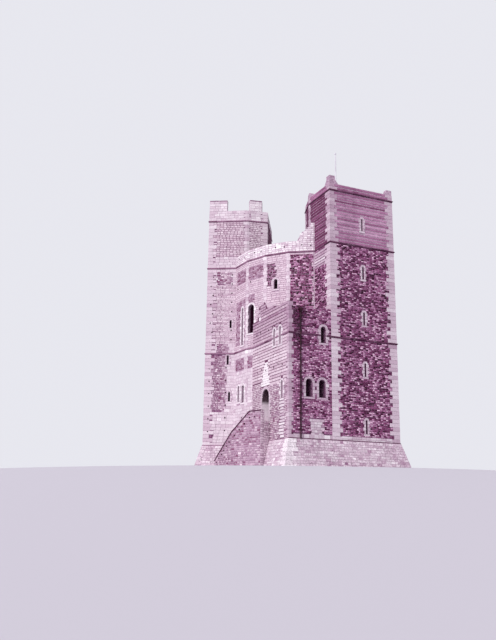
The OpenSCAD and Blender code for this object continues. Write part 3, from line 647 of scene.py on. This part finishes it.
# The way that the flat of the drum faces which the side wall runs into
drum_face_angle = math.radians(-158.57)
fore_back = (drum_flat + fore_left * -math.cos(drum_face_angle)) / math.sin(drum_face_angle)
front_head = [(0, 0), (0.55, 0.02), (0.65, 0.32), (1.45, 0.38), (1.55, 0.44), (2.7, 0.44), (2.8, 0.3),
              (3.9, 0.3)]
side_head = [(0, 0), (1.5, 0.04), (2.6, -0.16), (3.6, -0.29), (4.15, -0.36), (4.6, -0.9), (4.85, -1.06),
             (5.3, -0.9), (5.9, -0.76), (6.2, 0.38), (7.6, 0.4)]


def broken_head(outline, reverse=0.0):
    """The height of a wall's broken head along its face."""
    places, drops = zip(*outline)
    return lambda u: fore_top - np.interp(reverse - u if reverse else u, places, drops)


fore_side = Face((fore_left, fore_back), (fore_left, fore_front), plinth_top, 14.6)
fore_face = Face((fore_left, fore_front), (-turret_half, fore_front), plinth_top, 13.5)
side_top = broken_head(side_head, fore_side.width)
front_top = broken_head(front_head)
fore_ashlar = Masonry("forebuilding_ashlar", dressed, "ashlar", 700)
fore_rubble = Masonry("forebuilding_rubble", rubble_stone, "rubble", 701, smooth=True)
fore_bands = Masonry("forebuilding_bands", squared_stone, "coursed_stone", 702)


def place_on_side(y):
    """How far along the side wall a place lies."""
    return fore_back - y


def place_on_front(x):
    """How far along the front wall a place lies."""
    return x - fore_left


door_y, door_w, door_sill, door_h = -5.3, 1.4, 4.0, 2.78
side_windows = [(-6.93, 10.2, 0.38, 1.43), (-8.0, 10.15, 0.42, 1.5), (-8.38, 5.65, 0.34, 1.45)]
front_windows = [(-5.29, 5.74, 0.62, 1.45), (-4.1, 5.74, 0.62, 1.45), (-3.96, 10.23, 0.48, 1.38)]
surround(fore_ashlar, fore_side, place_on_side(door_y), door_sill, door_w, door_h, (0.24, 0.4), 0.24,
         0.04, 0.6)
for y, sill, width, height in side_windows:
    surround(fore_ashlar, fore_side, place_on_side(y), sill, width, height, (0.18, 0.3), 0.18, tone=0.75)
for x, sill, width, height in front_windows:
    surround(fore_ashlar, fore_face, place_on_front(x), sill, width, height, (0.2, 0.3), 0.2, tone=0.5)
# The storeys of both walls, the upper ones to above the broken heads
front_lifts, side_lifts = [lifts[0], (middle_z, 13.4)], [lifts[0], (middle_z, 14.5)]
for low, high in front_lifts:
    corner_blocks(fore_ashlar, fore_side, fore_face, low, high, (0.38, 0.24), 0.024,
                  0.42 if low == plinth_top else 0.3)
# Mended places: a pale patch pointed over the arch, a square one low on the front, and a strip of level
# courses under the lower side window
over_arch, patch_half, patch_lift = 7.05, 0.85, 0.4
for step in range(5):
    half, foot = patch_half * (1 - 0.17 * step), over_arch + patch_lift * step
    panel(fore_ashlar, fore_side, place_on_side(door_y) - half, place_on_side(door_y) + half, foot,
          foot + patch_lift, ashlar_laid | {"course": 0.2}, tone=0.97, spread=0.05)
panel(fore_ashlar, fore_face, place_on_front(-5.15), place_on_front(-4.05), 2.7, 4.0,
      ashlar_laid | {"course": 0.22, "length": 0.3}, tone=0.6, spread=0.15)
strip, strip_half = place_on_side(side_windows[2][0]), 0.42
panel(fore_ashlar, fore_side, strip - strip_half, strip + strip_half, 2.5, 5.45,
      level_laid | {"course": 0.24, "length": 0.8, "joint": 0.04}, tone=0.68, spread=0.1)
# The rough ends of torn courses along the broken head of the side, and a course over the plinth
panel(fore_ashlar, fore_side, 0.0, 1.7, 12.95, 14.6, ashlar_laid | {"joint": 0.05, "vary": 0.4},
      tone=0.5, spread=0.16, head=side_top)
foot_course(fore_ashlar, fore_face)
close_laid = squared_laid | {"joint": 0.014}
for low, high in side_lifts:
    if low == plinth_top:
        panel(fore_bands, fore_side, place_on_side(-5.9), 99, low + 0.02, 7.0, close_laid, tone=0.6,
              spread=0.25)
        panel(fore_bands, fore_side, -9, place_on_side(-4.7), low + 0.02, 7.4, close_laid, tone=0.68,
              spread=0.2)
    joint, tone = (0.034, 0.8) if low == plinth_top else (0.042, 0.5)
    fore_bands.field(fore_side, low + 0.01, high - 0.01, **level_laid | {"joint": joint}, tone=tone,
                     spread=0.14, rows=0.6, head=side_top)


def stained(u, v):
    """The tone of the front's rubble: paler below, and dark with damp under the broken outer corner."""
    damp = math.exp(-((u - 0.8) / 0.62) ** 2) * min(1, max(0, v - 9.2))
    return (0.6 if v > 9 else 0.68) - 0.5 * damp


for low, high in front_lifts:
    fore_rubble.field(fore_face, low + 0.02, high - 0.01, **rubble_laid, head=front_top, spread=0.3,
                      tone=stained)
# The wall behind the bands is dark in its joints, and pale where the reveals pass through it
joints, tree, shader = new_material("banded_wall", 0.95)
inside = fade(tree, coordinate(tree, "X"), fore_left + 0.01, fore_left + 0.04)
finish_stone(tree, shader, mix(tree, inside, (0.40, 0.22, 0.34), (0.82, 0.73, 0.79)),
             noise(tree, 30, 5), 0.006)
dress(joints, "fore_side_wall")
for made in (fore_ashlar, fore_rubble, fore_bands):
    made.finish()

# The string courses: bands of moulded stone that mark the floors, weathered on top and undercut
# below, mitred at every corner of the plan and cut where a window passes through them.
string_tones = [(0.0, (0.27, 0.12, 0.22)), (0.5, (0.44, 0.27, 0.38)), (1.0, (0.66, 0.51, 0.61))]
string_stone = stone_material("weathered_moulding", string_tones, 0.15, 40, 0.006, runs=0.3)
string_section = [(-0.04, 0.0), (0.07, 0.0), (0.09, -0.04), (0.09, -0.08), (0.012, -0.15), (-0.04, -0.15)]
string_length = 0.8
# The walls that lie further south than this have dark strings, and so have those of the turrets' heads
# that lie further south than the second
south_walls, south_head = -7.5, -3.5


def string_run(stones, plan, top, breaks=(), section=string_section):
    """A closed run of string course round a plan; breaks are gaps as (face, from, to)."""
    mean = []
    faces = faces_along(plan + plan[:1], 0, 1)
    out, rise = np.array(section).T
    rings = []
    for i, face in enumerate(faces):
        before, after = faces[i - 1], faces[(i + 1) % len(faces)]
        edges = [0.0, face.width]
        for j, a, b in breaks:
            if j == i:
                edges += [a, b]
        edges = sorted(edges)
        y = face.at(face.width / 2, top, 0)[1]
        dark = y < south_walls or (top > upper_z and y < south_head)
        for a, b in zip(edges[::2], edges[1::2]):
            count = max(1, round((b - a) / string_length))
            cuts = a + (b - a) * np.arange(count + 1) / count
            for u0, u1 in zip(cuts, cuts[1:]):
                levels = []
                for u, limit, other, gap in ((u0, 0.0, before, 0.004), (u1, face.width, after, -0.004)):
                    if u == limit:
                        apex = (face.n + other.n) / (1 + face.n @ other.n)
                        levels.append(face.at(limit, top + rise, 0) + out[:, None] * apex)
                    else:
                        uneven = stones.random.uniform(-0.004, 0.004)
                        levels.append(face.at(u + gap, top + rise, out + uneven))
                rings.append(levels)
                mean.append(0.25 if dark else 0.85)
    tones = np.clip(stones.random.normal(mean, 0.14), 0, 1)
    stones.add(np.array(rings), tones, caps=[[0, 1, 2, 5], [5, 2, 3, 4]])


def keep_outline(with_forebuilding=False):
    """The keep's outline from the south turret round, seen from outside from left to right."""
    outline = []
    for angle in sorted(turrets.values()):
        outline += [drum_meets(angle, -1), turned(angle, turret_reach, -turret_half),
                    turned(angle, turret_reach, turret_half), drum_meets(angle, 1)]
        outline += [drum_corner(angle, k) for k in range(2, 7)]
    if with_forebuilding:
        outline = outline[2:-3] + [np.array([fore_left, fore_back]), np.array([fore_left, fore_front])]
    return outline


strings = Masonry("string_courses", string_stone, "ashlar", 800)
middle_outline = keep_outline(True)
front_run = len(middle_outline) - 1
side_run = front_run - 1
# Where the upper windows and the pipe pass through the string
side_breaks = [(-6.7, -7.16), (-7.75, -8.25)]
front_breaks = [(-4.24, -3.68), (-6.2, -6.02)]
string_run(strings, middle_outline, middle_z,
           [(side_run, place_on_side(a), place_on_side(b)) for a, b in side_breaks]
           + [(front_run, place_on_front(a), place_on_front(b)) for a, b in front_breaks])
string_run(strings, keep_outline(), upper_z)
for name in turrets:
    string_run(strings, [np.array(face.origin[:2]) for face in heads[name]], turret_z)
ledge_section = [(-0.04, 0.0), (0.05, 0.0), (0.055, -0.02), (0.055, -0.04), (0.05, -0.06), (-0.04, -0.06)]
string_run(strings, middle_outline, plinth_top + 0.07, section=ledge_section)
made = strings.finish()
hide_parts("middle_string_course", "upper_string_course", "turret_string_courses")

# The plinth: a solid battered base of ashlar blocks, pale, mottled and worn, with one corner rebuilt in
# new white stone. It spreads to its foot all round.
plinth_out, plinth_ledge = 0.75, 0.06
# The first plan is the south turret's and the last the forebuilding's, which takes in the turret's front
south_plan, fore_plan = 0, 6
plinth_stone = stone_material("plinth_limestone", ashlar_tones, 0.3, 22, 0.01, 0.9, runs=0.2, lichen=0.25,
                              pits=0.7)
plinth = Masonry("plinth_ashlar", plinth_stone, "ashlar", 850)
plinth_laid = dict(course=0.22, length=0.36, joint=0.014, proud=0.018, pillow=0.006, vary=0.2, ragged=0.03)
dress(core, "drum_plinth", "turret_plinths", "fore_plinth")


def battered(low, high):
    """The faces that lean inwards from one outline to another."""
    return [Face(a, b, 0, plinth_top, c, d) for a, b, c, d in zip(low, low[1:], high, high[1:])]


def plinth_plan(out):
    """The outlines of the turret bases, the drum's bases and the forebuilding's, grown by out.

    Where they are grown far, the drum's bases end at the turrets' sides."""
    plans = []
    for angle in turrets.values():
        reach, half = turret_reach + out, turret_half + out
        plans.append([drum_meets(angle, -1, out), turned(angle, reach, -half), turned(angle, reach, half),
                      drum_meets(angle, 1, out)])
        plans.append([drum_meets(angle, 1, out) if out > 0.5 else drum_corner(angle, 2, out),
                      *[drum_corner(angle, k, out) for k in range(3, 6)],
                      drum_meets(angle + 120, -1, out) if out > 0.5 else drum_corner(angle, 6, out)])
    left, front = fore_left - out, fore_front - out
    back = (drum_flat + out + left * -math.cos(drum_face_angle)) / math.sin(drum_face_angle)
    plans.append([np.array([left, back]), np.array([left, front]), np.array([turret_half + out, front])])
    return plans


for plan, (low, high) in enumerate(zip(plinth_plan(plinth_out), plinth_plan(plinth_ledge))):
    faces = battered(low, high)
    if plan == south_plan:
        faces = faces[2:]
    for a, b in zip(faces, faces[1:]):
        white = plan == fore_plan
        corner_blocks(plinth, a, b, 0.02, plinth_top - 0.01, (0.85, 0.65) if white else (0.45, 0.35), 0.024,
                      0.97 if white else 0.6)
    for face in faces:
        plinth.field(face, 0.02, plinth_top - 0.01, **plinth_laid, tone=0.58, spread=0.14)
plinth.finish()

# The wall heads: parapets of ashlar with flat copings, merlons left standing on two turrets, the worn
# stumps of the south one, and the drum's low parapet with a scar of the old one beside each turret.
parapet_thick = 0.55
merlon_height, merlon_length = 1.1, 1.7
coping_laid = dict(course=0.275, length=0.5, joint=0.014, proud=0.03, pillow=0.008, vary=0.2)
edge_laid = dict(course=0.1, length=0.6, joint=0.004, proud=0.035, pillow=0.005)
edge_below, edge_above = 0.07, 0.03


class Top(Face):
    """The top of a wall: u runs along its outer edge, v inwards and d up."""

    def __init__(self, left, right, depth, z_left, z_right=None):
        super().__init__(left, right, 0, depth)
        self.base = z_left
        self.slope = ((z_left if z_right is None else z_right) - z_left) / self.width

    def at(self, u, v, d):
        """Points of the top as points of the keep."""
        u, v, d = np.broadcast_arrays(u, v, d)
        up = self.base + u * self.slope + d
        return (self.origin + u[..., None] * self.t - v[..., None] * self.o
                + up[..., None] * np.array([0, 0, 1.0]))


def cope(stones, left, right, depth, z, z_right=None, **tone):
    """A course of coping over one stretch of wall."""
    stones.field(Top(left, right, depth, z, z_right), 0.0, depth, **coping_laid, **tone)


def dress_merlon(stones, angle, outline, side, z0, z1):
    """Ashlar all round a merlon, with a dark course along its head under the edge of its coping.

    The outline is given in the turret's frame for its left side; side -1 mirrors it."""
    points = [turned(angle, x, side * y) for x, y in outline][::side]
    for face in faces_along(points + points[:1], z0, z1):
        stones.field(face, z1 - edge_below, z1 + edge_above, **edge_laid, tone=0.1)
        stones.field(face, z0 + 0.005, z1 - edge_below, **ashlar_laid, tone=0.72, spread=0.12)


def inner_faces(stones, points, z0, z1, **tone):
    """Facing on the inner side of a ring of wall, whose inner outline is given."""
    backwards = points[::-1]
    for face in faces_along(backwards + backwards[:1], z0, z1):
        stones.field(face, z0 + 0.005, z1, **ashlar_laid, **tone)


taper = math.atan2(turret_half - neck_half, turret_root - neck_reach)


def ring_inside(angle, depth):
    """The inner outline of a turret's parapet."""
    half = turret_half - depth
    root = turret_root + depth * math.tan(taper / 2)
    inner = neck_reach + depth
    neck = neck_half + depth * math.tan(taper) - depth / math.cos(taper)
    return [turned(angle, x, y) for x, y in ((inner, -neck), (root, -half), (turret_reach - depth, -half),
                                             (turret_reach - depth, half), (root, half), (inner, neck))]


for name, angle in turrets.items():
    parapet = Masonry(f"{name}_parapet_ashlar", dressed, "ashlar", 900 + angle)
    worn = name == "south"
    wall_top = turret_z + (0.55 if worn else 1.0)
    end_top = turret_z + 0.5
    inside = ring_inside(angle, parapet_thick)
    ring = heads[name]
    inner_faces(parapet, inside, turret_z, end_top, tone=0.45)
    if not worn:
        for face in faces_along(inside[4::-1], end_top, wall_top):
            parapet.field(face, end_top, wall_top, **ashlar_laid, tone=0.45)
        reach, half, merlon_top = turret_reach, turret_half, wall_top + merlon_height
        for side in (-1, 1):
            corner = [(reach - merlon_length, half), (reach - merlon_length, half - parapet_thick),
                      (reach - parapet_thick, half - parapet_thick),
                      (reach - parapet_thick, half - merlon_length),
                      (reach, half - merlon_length), (reach, half)]
            dress_merlon(parapet, angle, corner, side, wall_top, merlon_top)
            start = (neck_reach + parapet_thick, neck_half + parapet_thick * math.tan(taper))
            along, inwards = (math.cos(taper), math.sin(taper)), (math.sin(taper), -math.cos(taper))
            length = merlon_length - parapet_thick
            end = (start[0] + along[0] * length, start[1] + along[1] * length)
            deep_start, deep_end = [(x + inwards[0] * parapet_thick, y + inwards[1] * parapet_thick)
                                    for x, y in (start, end)]
            dress_merlon(parapet, angle, [start, deep_start, deep_end, end], side, wall_top, merlon_top)
            for a, b, depth in (((reach - merlon_length, half), (reach, half), parapet_thick),
                                ((reach, half - parapet_thick), (reach, half - merlon_length), parapet_thick),
                                (start, end, parapet_thick)):
                ends = [turned(angle, x, side * y) for x, y in (a, b)][::-side]
                cope(parapet, *ends, depth, merlon_top, tone=0.6)
    for count, face in enumerate(ring):
        a, b = (np.array(p[:2]) for p in (face.at(0, 0, 0), face.at(face.width, 0, 0)))
        top = end_top if count == 5 else wall_top
        cope(parapet, a, b, parapet_thick, top, tone=0.55, spread=0.1)
    parapet.finish()

drum_ashlar = Masonry("drum_parapet_ashlar", dressed, "ashlar", 950)
drum_head = upper_z + 0.95
scar_top = drum_head + 1.65
parapet_laid = block_laid | {"joint": 0.016}


def scar_head(u):
    """The sloping head of the scar, along the flat that it stands on."""
    return drum_head + np.interp(u, [0.793, 1.246, 1.7, 2.04], [0, 0.825, 1.07, 1.65])


for angle in turrets.values():
    outer = [drum_meets(angle, 1), *[drum_corner(angle, k) for k in range(2, 7)], drum_meets(angle + 120, -1)]
    inner = [drum_corner(angle, k, -parapet_thick) for k in range(1, 8)]
    for k, (a, b) in enumerate(zip(outer, outer[1:])):
        top = scar_top if k >= 4 else drum_head
        face = Face(a, b, upper_z, top)
        if angle == turrets["west"] and k == 3:
            # One new stone, still white
            panel(drum_ashlar, face, 1.05, 1.5, 19.6, 19.98, ashlar_laid | {"course": 0.38}, tone=1.0,
                  spread=0.0)
        drum_ashlar.field(face, upper_z + 0.01, top, **parapet_laid, tone=0.82, spread=0.15,
                          head=scar_head if k == 4 else None)
        if k < 4:
            cope(drum_ashlar, a, b, parapet_thick, drum_head, tone=0.5)
        if k == 5:
            cope(drum_ashlar, a, b, parapet_thick, scar_top, tone=0.5)
    for face in faces_along(inner[::-1], upper_z, drum_head):
        drum_ashlar.field(face, upper_z + 0.005, drum_head, **ashlar_laid, tone=0.45)
drum_ashlar.finish()

# The outside stair: a side wall of rough rubble with a thin coping, and a dark strip of painted shadow under
# its edge. It climbs along the drum and turns to the landing before the arch. The steps are worked limestone.
stair_out, stair_foot_y, stair_turn_y = -9.3, 0.5, -3.3
stair_wall_thick, step_rise, lower_steps = 0.42, 0.2, 12
rail, landing_run, jamb_reach = 0.85, 1.3, 0.76
turn = np.array([stair_out, stair_turn_y])
stair_top = np.array([fore_left - 1.46, door_y])
upper_run = float(np.linalg.norm(stair_top - turn))
uphill = (stair_top - turn) / upper_run
into = np.array([-uphill[1], uphill[0]])
landing_end = stair_top + uphill * landing_run
foot = np.array([stair_out, stair_foot_y])
inner_turn = turn + stair_wall_thick * (into + uphill * (1 - into[0]) / uphill[0])
inner_foot = foot + [stair_wall_thick, 0]
rails = rail + step_rise, rail + lower_steps * step_rise, door_sill + rail
stair_rubble = Masonry("stair_wall_rubble", squared_stone, "stair_rubble", 1000, smooth=True)
stair_coping = Masonry("stair_coping", string_stone, "ashlar", 1001)
stair_laid = dict(course=0.19, length=0.3, joint=0.03, proud=0.025, pillow=0.02, ragged=0.1)
dress(worked, "lower_flight", "upper_flight", "stair_landing", "ground_floor")


def stair_wall(a, b, z_a, z_b, climbs=None, tone=0.36):
    """One face of the side wall between two points, under a head that climbs and then runs level."""
    face = Face(a, b, 0, max(z_a, z_b))
    run = climbs or face.width
    stair_rubble.field(face, 0.02, face.z1, **stair_laid, tone=tone, spread=0.2,
                       head=lambda u: z_a + (z_b - z_a) * min(1, u / run))


landing_inner = landing_end + stair_wall_thick * into
stair_wall(foot, turn, rails[0], rails[1])
stair_wall(turn, landing_end, rails[1], rails[2], upper_run)
# The landing's end faces away from the lamp; its stones are given a pale tone, painted light that makes up
# for it
stair_wall(landing_end, landing_inner, rails[2], rails[2], tone=0.95)
stair_wall(landing_inner, (fore_left, door_y - jamb_reach), door_sill, door_sill, tone=0.95)
stair_wall(inner_turn, inner_foot, rails[1], rails[0])
stair_wall(inner_foot, foot, rails[0], rails[0])
coped = [(foot, turn, rails[0], rails[1]), (turn, stair_top, rails[1], rails[2]),
         (stair_top, landing_end, rails[2], rails[2])]
for a, b, z_a, z_b in coped:
    cope(stair_coping, a, b, stair_wall_thick, z_a, z_b, tone=0.3, spread=0.15)
# A dark strip along the coping's edge: painted shadow under the coping
for a, b, z_a, z_b in coped:
    face = Face(a, b, 0, 5)
    ends = face.width * np.linspace(0, 1, 1 + round(face.width / edge_laid["length"]))
    slope = (z_b - z_a) / face.width
    stair_coping.blocks(face, [[(u0, z_a + slope * u0 - edge_below), (u1, z_a + slope * u1 - edge_below),
                                (u1, z_a + slope * u1 + edge_above), (u0, z_a + slope * u0 + edge_above)]
                               for u0, u1 in zip(ends, ends[1:])], 0.06, 0.008, tones=0.12)
stair_rubble.finish()
stair_coping.finish()

# The arch: the round-headed entrance at the landing, cut through the side wall. Its reveals are dressed,
# and pale below the springing; above it they turn almost black with painted shade of the arch head.
reveal, tree, shader = new_material("arch_reveal_painted_shade", 0.9)
# Above the springing the reveal fades to near black: painted shade of the arch head
arch_head_shade = fade(tree, coordinate(tree, "Z"), door_sill + 1.5, door_sill + 1.85, 0.95)
finish_stone(tree, shader, mix(tree, arch_head_shade, (0.96, 0.90, 0.94), (0.18, 0.05, 0.12)), noise(tree, 40, 5),
             0.004)
dress(reveal, "entrance_arch")

# The roofs: sheets of grey lead, dressed over wooden rolls that run down the slope. Their undersides are
# painted dark: the oak boards under the lead, darkened further with painted shade.
lead, tree, shader = new_material("sheet_lead", 0.55)
streaks = noise(tree, 2.2, 6, (1, 1, 0.3))
sheet = ramp(tree, streaks, [(0.3, (0.44, 0.40, 0.45)), (0.6, (0.55, 0.52, 0.57)), (0.8, (0.66, 0.63, 0.68))])
# Faces turned down take the dark colour, which stands for the oak boards and painted shade together
facing = node(tree, "ShaderNodeNewGeometry").outputs["True Normal"]
above = fade(tree, node(tree, "ShaderNodeSeparateXYZ", Vector=facing).outputs["Z"], -0.1, 0.1)
tree.links.new(mix(tree, above, (0.24, 0.13, 0.19), sheet), shader.inputs["Base Color"])
shader.inputs["Metallic"].default_value = 0.3
dress(lead, "drum_roof", "turret_roofs", "fore_roof")
roll_r, roll_step = 0.035, 0.62


def roll(mesh, a, b):
    """A half-sunk roll from one point to another."""
    a, b = Vector(a), Vector(b)
    made = bmesh.ops.create_cone(mesh, cap_ends=True, segments=8, radius1=roll_r, radius2=roll_r,
                                 depth=(b - a).length)["verts"]
    turn_to = (b - a).to_track_quat("Z", "Y").to_matrix().to_4x4()
    bmesh.ops.transform(mesh, matrix=Matrix.Translation((a + b) / 2) @ turn_to, verts=made)


def finish_piece(mesh, name, material):
    """Makes a piece of a bmesh, and puts it in place."""
    bmesh.ops.recalc_face_normals(mesh, faces=mesh.faces)
    data = bpy.data.meshes.new(name)
    mesh.to_mesh(data)
    mesh.free()
    put_in_place(data, name, material)


# On the drum's cone every fourth roll runs up to the middle; on the turrets they cross the flat and run
# down on both sides of it
rolls = bmesh.new()
rim_r, rim_z, apex_z, cone_rolls = 4.0, upper_z + 0.2, upper_z + 1.55, 40
for k in range(cone_rolls):
    a = math.radians(360 / cone_rolls * k)
    near = 0.25 if k % 4 == 0 else 1.6
    share = near / rim_r
    roll(rolls, (near * math.cos(a), near * math.sin(a), apex_z + (rim_z - apex_z) * share),
         (rim_r * math.cos(a), rim_r * math.sin(a), rim_z))
flat_half, foot_half, flat_z, foot_z = 1.35, 2.05, turret_z + 0.25, turret_z + 0.07
for angle in turrets.values():
    for side in (-1, 1):
        for x in np.arange(5.4, 8.3, roll_step):
            a, b = turned(angle, x, 0.0), turned(angle, x, side * flat_half)
            c = turned(angle, x, side * foot_half)
            roll(rolls, (*a, flat_z), (*b, flat_z))
            roll(rolls, (*b, flat_z), (*c, foot_z))
fore_roof_z = 12.96
for x in np.arange(-5.6, -3.3, roll_step):
    roll(rolls, (x, -8.3, fore_roof_z), (x, -6.75 - 0.35 * (x + 5.6), fore_roof_z))
finish_piece(rolls, "lead_rolls", lead)

# The floors: oak boards on the upper levels, laid side by side with narrow gaps. They show through
# the arch and the windows.
board_width, board_gap = 0.11, 0.012
boards, tree, shader = new_material("oak_boards", 0.8)
saw = node(tree, "ShaderNodeMath", {"operation": "PINGPONG"}, Value=coordinate(tree, "X"))
saw.inputs[1].default_value = board_width
gap = fade(tree, saw.outputs[0], 0.0, board_gap)
grain = noise(tree, 3, 6, (12, 0.8, 1))
wood = ramp(tree, grain, [(0.3, (0.26, 0.17, 0.21)), (0.7, (0.40, 0.29, 0.34))])
tree.links.new(mix(tree, gap, (0.08, 0.05, 0.07), wood), shader.inputs["Base Color"])
bump = node(tree, "ShaderNodeBump", Height=gap, Strength=0.8, Distance=0.01)
tree.links.new(bump.outputs["Normal"], shader.inputs["Normal"])
dress(boards, "lower_hall_floor", "upper_hall_floor", "turret_floors", "fore_floors")

# The rainwater pipe: cast iron, painted long ago and rusty in patches, in lengths that meet in collars
# at its brackets. It runs down the forebuilding's front.
iron, tree, shader = new_material("painted_cast_iron", 0.5)
rust = fade(tree, noise(tree, 7, 6), 0.5, 0.7)
tree.links.new(mix(tree, rust, (0.15, 0.04, 0.11), (0.30, 0.14, 0.20)), shader.inputs["Base Color"])
dress(iron, "rainwater_pipe")
pipe_x, pipe_y, pipe_radius = fore_left + 0.99, fore_front - 0.13, 0.06
collar_foot, collar_step, collar_high = plinth_top + 0.82, 2.26, 0.1
collars = bmesh.new()
for k in range(5):
    place = Matrix.Translation((pipe_x, pipe_y, collar_foot + k * collar_step))
    bmesh.ops.create_cone(collars, cap_ends=True, segments=24, radius1=pipe_radius + 0.022,
                          radius2=pipe_radius + 0.014, depth=collar_high, matrix=place)
finish_piece(collars, "pipe_collars", iron)

# The flagpole: a white-painted larch pole with a cap, stepped on the turret's roof. Rain has left
# grey streaks down the paint.
paint, tree, shader = new_material("white_pole_paint", 0.4)
grime = fade(tree, noise(tree, 6, 4, (1, 1, 0.2)), 0.45, 0.75, 0.6)
tree.links.new(mix(tree, grime, (0.86, 0.85, 0.88), (0.62, 0.56, 0.62)), shader.inputs["Base Color"])
dress(paint, "flagpole")

# The put-log holes: square sockets left where the builders' scaffold was lodged, in rows up the walls, under
# the drum's head and along the stair. Each is a flat dark square of stone on the face: painted shade of the
# hole.
sockets = Masonry("putlog_socket_shades", rubble_stone, "rubble", 650, smooth=True)
hole = 0.13


def socket_shades_on(face, places, proud=0.032):
    """Dark squares of painted shade for sockets on a face, by the lower left corner of each."""
    u, v = np.array(places, float).T
    square = (0, 0), (hole, 0), (hole, hole), (0, hole)
    corners = np.stack([np.stack([u + a, v + b], -1) for a, b in square], 1)
    sockets.blocks(face, corners, proud, 0.004, 0.1, tones=0.0)


west_side = shafts["west"][2]
for row in range(7):
    z = 3.6 + row * 1.15
    socket_shades_on(west_side, [(0.35, z), (1.9, z + 0.1)])
for row in range(8):
    z = 11.9 + row * 0.9
    socket_shades_on(west_side, [(0.3 + 0.2 * (row % 2), z), (2.3, z + 0.2)])
for k in range(2, 6):
    facet = Face(drum_corner(turrets["west"], k), drum_corner(turrets["west"], k + 1), plinth_top, drum_head)
    socket_shades_on(facet, [(0.3 + 0.17 * k, 19.7), (1.3 + 0.13 * k, 19.62), (0.4, 16.4 + 0.2 * k)])
    socket_shades_on(facet, [(0.5, 3.2 + 0.1 * k), (1.6, 4.9 - 0.1 * k)])
for k, y in enumerate(np.arange(-3.3, -8.9, -0.8)):
    u = place_on_side(y)
    socket_shades_on(fore_side, [(u, 11.7 + 0.1 * (k % 3)), (u + 0.3, 8.3 + 0.2 * (k % 2))])
lower_climb = Face(foot, turn, 0, 4)
steep = (rails[1] - rails[0]) / lower_climb.width
places = [(u, rails[0] + steep * u - 0.55) for u in np.arange(0.5, 3.7, 0.55)]
socket_shades_on(lower_climb, places, 0.05)
upper_climb = Face(turn, landing_end, 0, 5)
steep = (rails[2] - rails[1]) / upper_run
places = [(u, rails[1] + steep * min(upper_run, u) - 0.6) for u in np.arange(0.3, 3, 0.6)]
socket_shades_on(upper_climb, places, 0.05)
sockets.finish()

# The studio: a pale floor that falls away round the keep, which stands above the eye, a large soft
# lamp from the left, and a pale even sky.
floor_tone = (0.78, 0.76, 0.80)
sky_tone = (0.905, 0.905, 0.935)
flat_r, fall_r, far_r, fall = 12.5, 95, 500, 5.2
ground = bmesh.new()
ring = bmesh.ops.create_circle(ground, cap_ends=True, radius=flat_r, segments=96)["verts"]
rim = list(ground.edges)
profile = [(flat_r + (fall_r - flat_r) * t, -fall * t * t * (3 - 2 * t)) for t in np.linspace(0, 1, 33)[1:]]
for radius, height in [*profile, (far_r, -fall)]:
    moved = bmesh.ops.extrude_edge_only(ground, edges=rim)["geom"]
    corners = [g for g in moved if isinstance(g, bmesh.types.BMVert)]
    rim = [g for g in moved if isinstance(g, bmesh.types.BMEdge) and all(v in corners for v in g.verts)]
    for corner in corners:
        wide = corner.co.xy.normalized() * radius
        corner.co = (wide.x, wide.y, height)
bmesh.ops.recalc_face_normals(ground, faces=ground.faces)
for face in ground.faces:
    face.smooth = True
floor_mesh = bpy.data.meshes.new("studio_floor")
ground.to_mesh(floor_mesh)
ground.free()
floor = bpy.data.objects.new("studio_floor", floor_mesh)
bpy.context.scene.collection.objects.link(floor)
pale, tree, shader = new_material("studio_floor", 0.9)
shader.inputs["Base Color"].default_value = linear(floor_tone)
floor_mesh.materials.append(pale)

sun = bpy.data.lights.new("key", "SUN")
sun.energy, sun.angle, sun.color = 2.8, math.radians(40), (1.0, 0.985, 0.99)
lamp = bpy.data.objects.new("key", sun)
lamp.rotation_euler = Vector((0.78, 0.42, -0.62)).to_track_quat("-Z", "Y").to_euler()
bpy.context.scene.collection.objects.link(lamp)

world = bpy.data.worlds.new("sky")
bpy.context.scene.world = world
world.use_nodes = True
tree = world.node_tree
tree.nodes.clear()
rays = node(tree, "ShaderNodeLightPath")
seen = node(tree, "ShaderNodeMath", {"operation": "MAXIMUM"})
tree.links.new(rays.outputs["Is Camera Ray"], seen.inputs[0])
tree.links.new(rays.outputs["Is Glossy Ray"], seen.inputs[1])
soft = node(tree, "ShaderNodeBackground", Color=linear((0.93, 0.93, 0.96)), Strength=0.65)
shown = node(tree, "ShaderNodeBackground", Color=linear(sky_tone), Strength=1.0)
either = node(tree, "ShaderNodeMixShader", Fac=seen.outputs[0])
tree.links.new(soft.outputs[0], either.inputs[1])
tree.links.new(shown.outputs[0], either.inputs[2])
tree.links.new(either.outputs[0], node(tree, "ShaderNodeOutputWorld").inputs["Surface"])

# The camera stands far off to the south-south-west, lower than the keep's own ground, and leans by
# about a degree.
eye = Vector((-32.44, -59.82, -2.36))
ahead = Vector((0.38537, 0.89001, 0.24365)).normalized()
camera_lean = math.radians(0.94)
camera = bpy.data.cameras.new("view")
camera.sensor_width, camera.lens = 36, 40.5
camera.clip_end = 1000
view = bpy.data.objects.new("view", camera)
side = ahead.cross(Vector((0, 0, 1))).normalized()
up = side.cross(ahead)
across = side * math.cos(camera_lean) + up * math.sin(camera_lean)
above = up * math.cos(camera_lean) - side * math.sin(camera_lean)
view.matrix_world = Matrix((across, above, -ahead)).transposed().to_4x4()
view.location = eye
bpy.context.scene.collection.objects.link(view)
bpy.context.scene.camera = view
bpy.context.scene.view_settings.view_transform = "Standard"
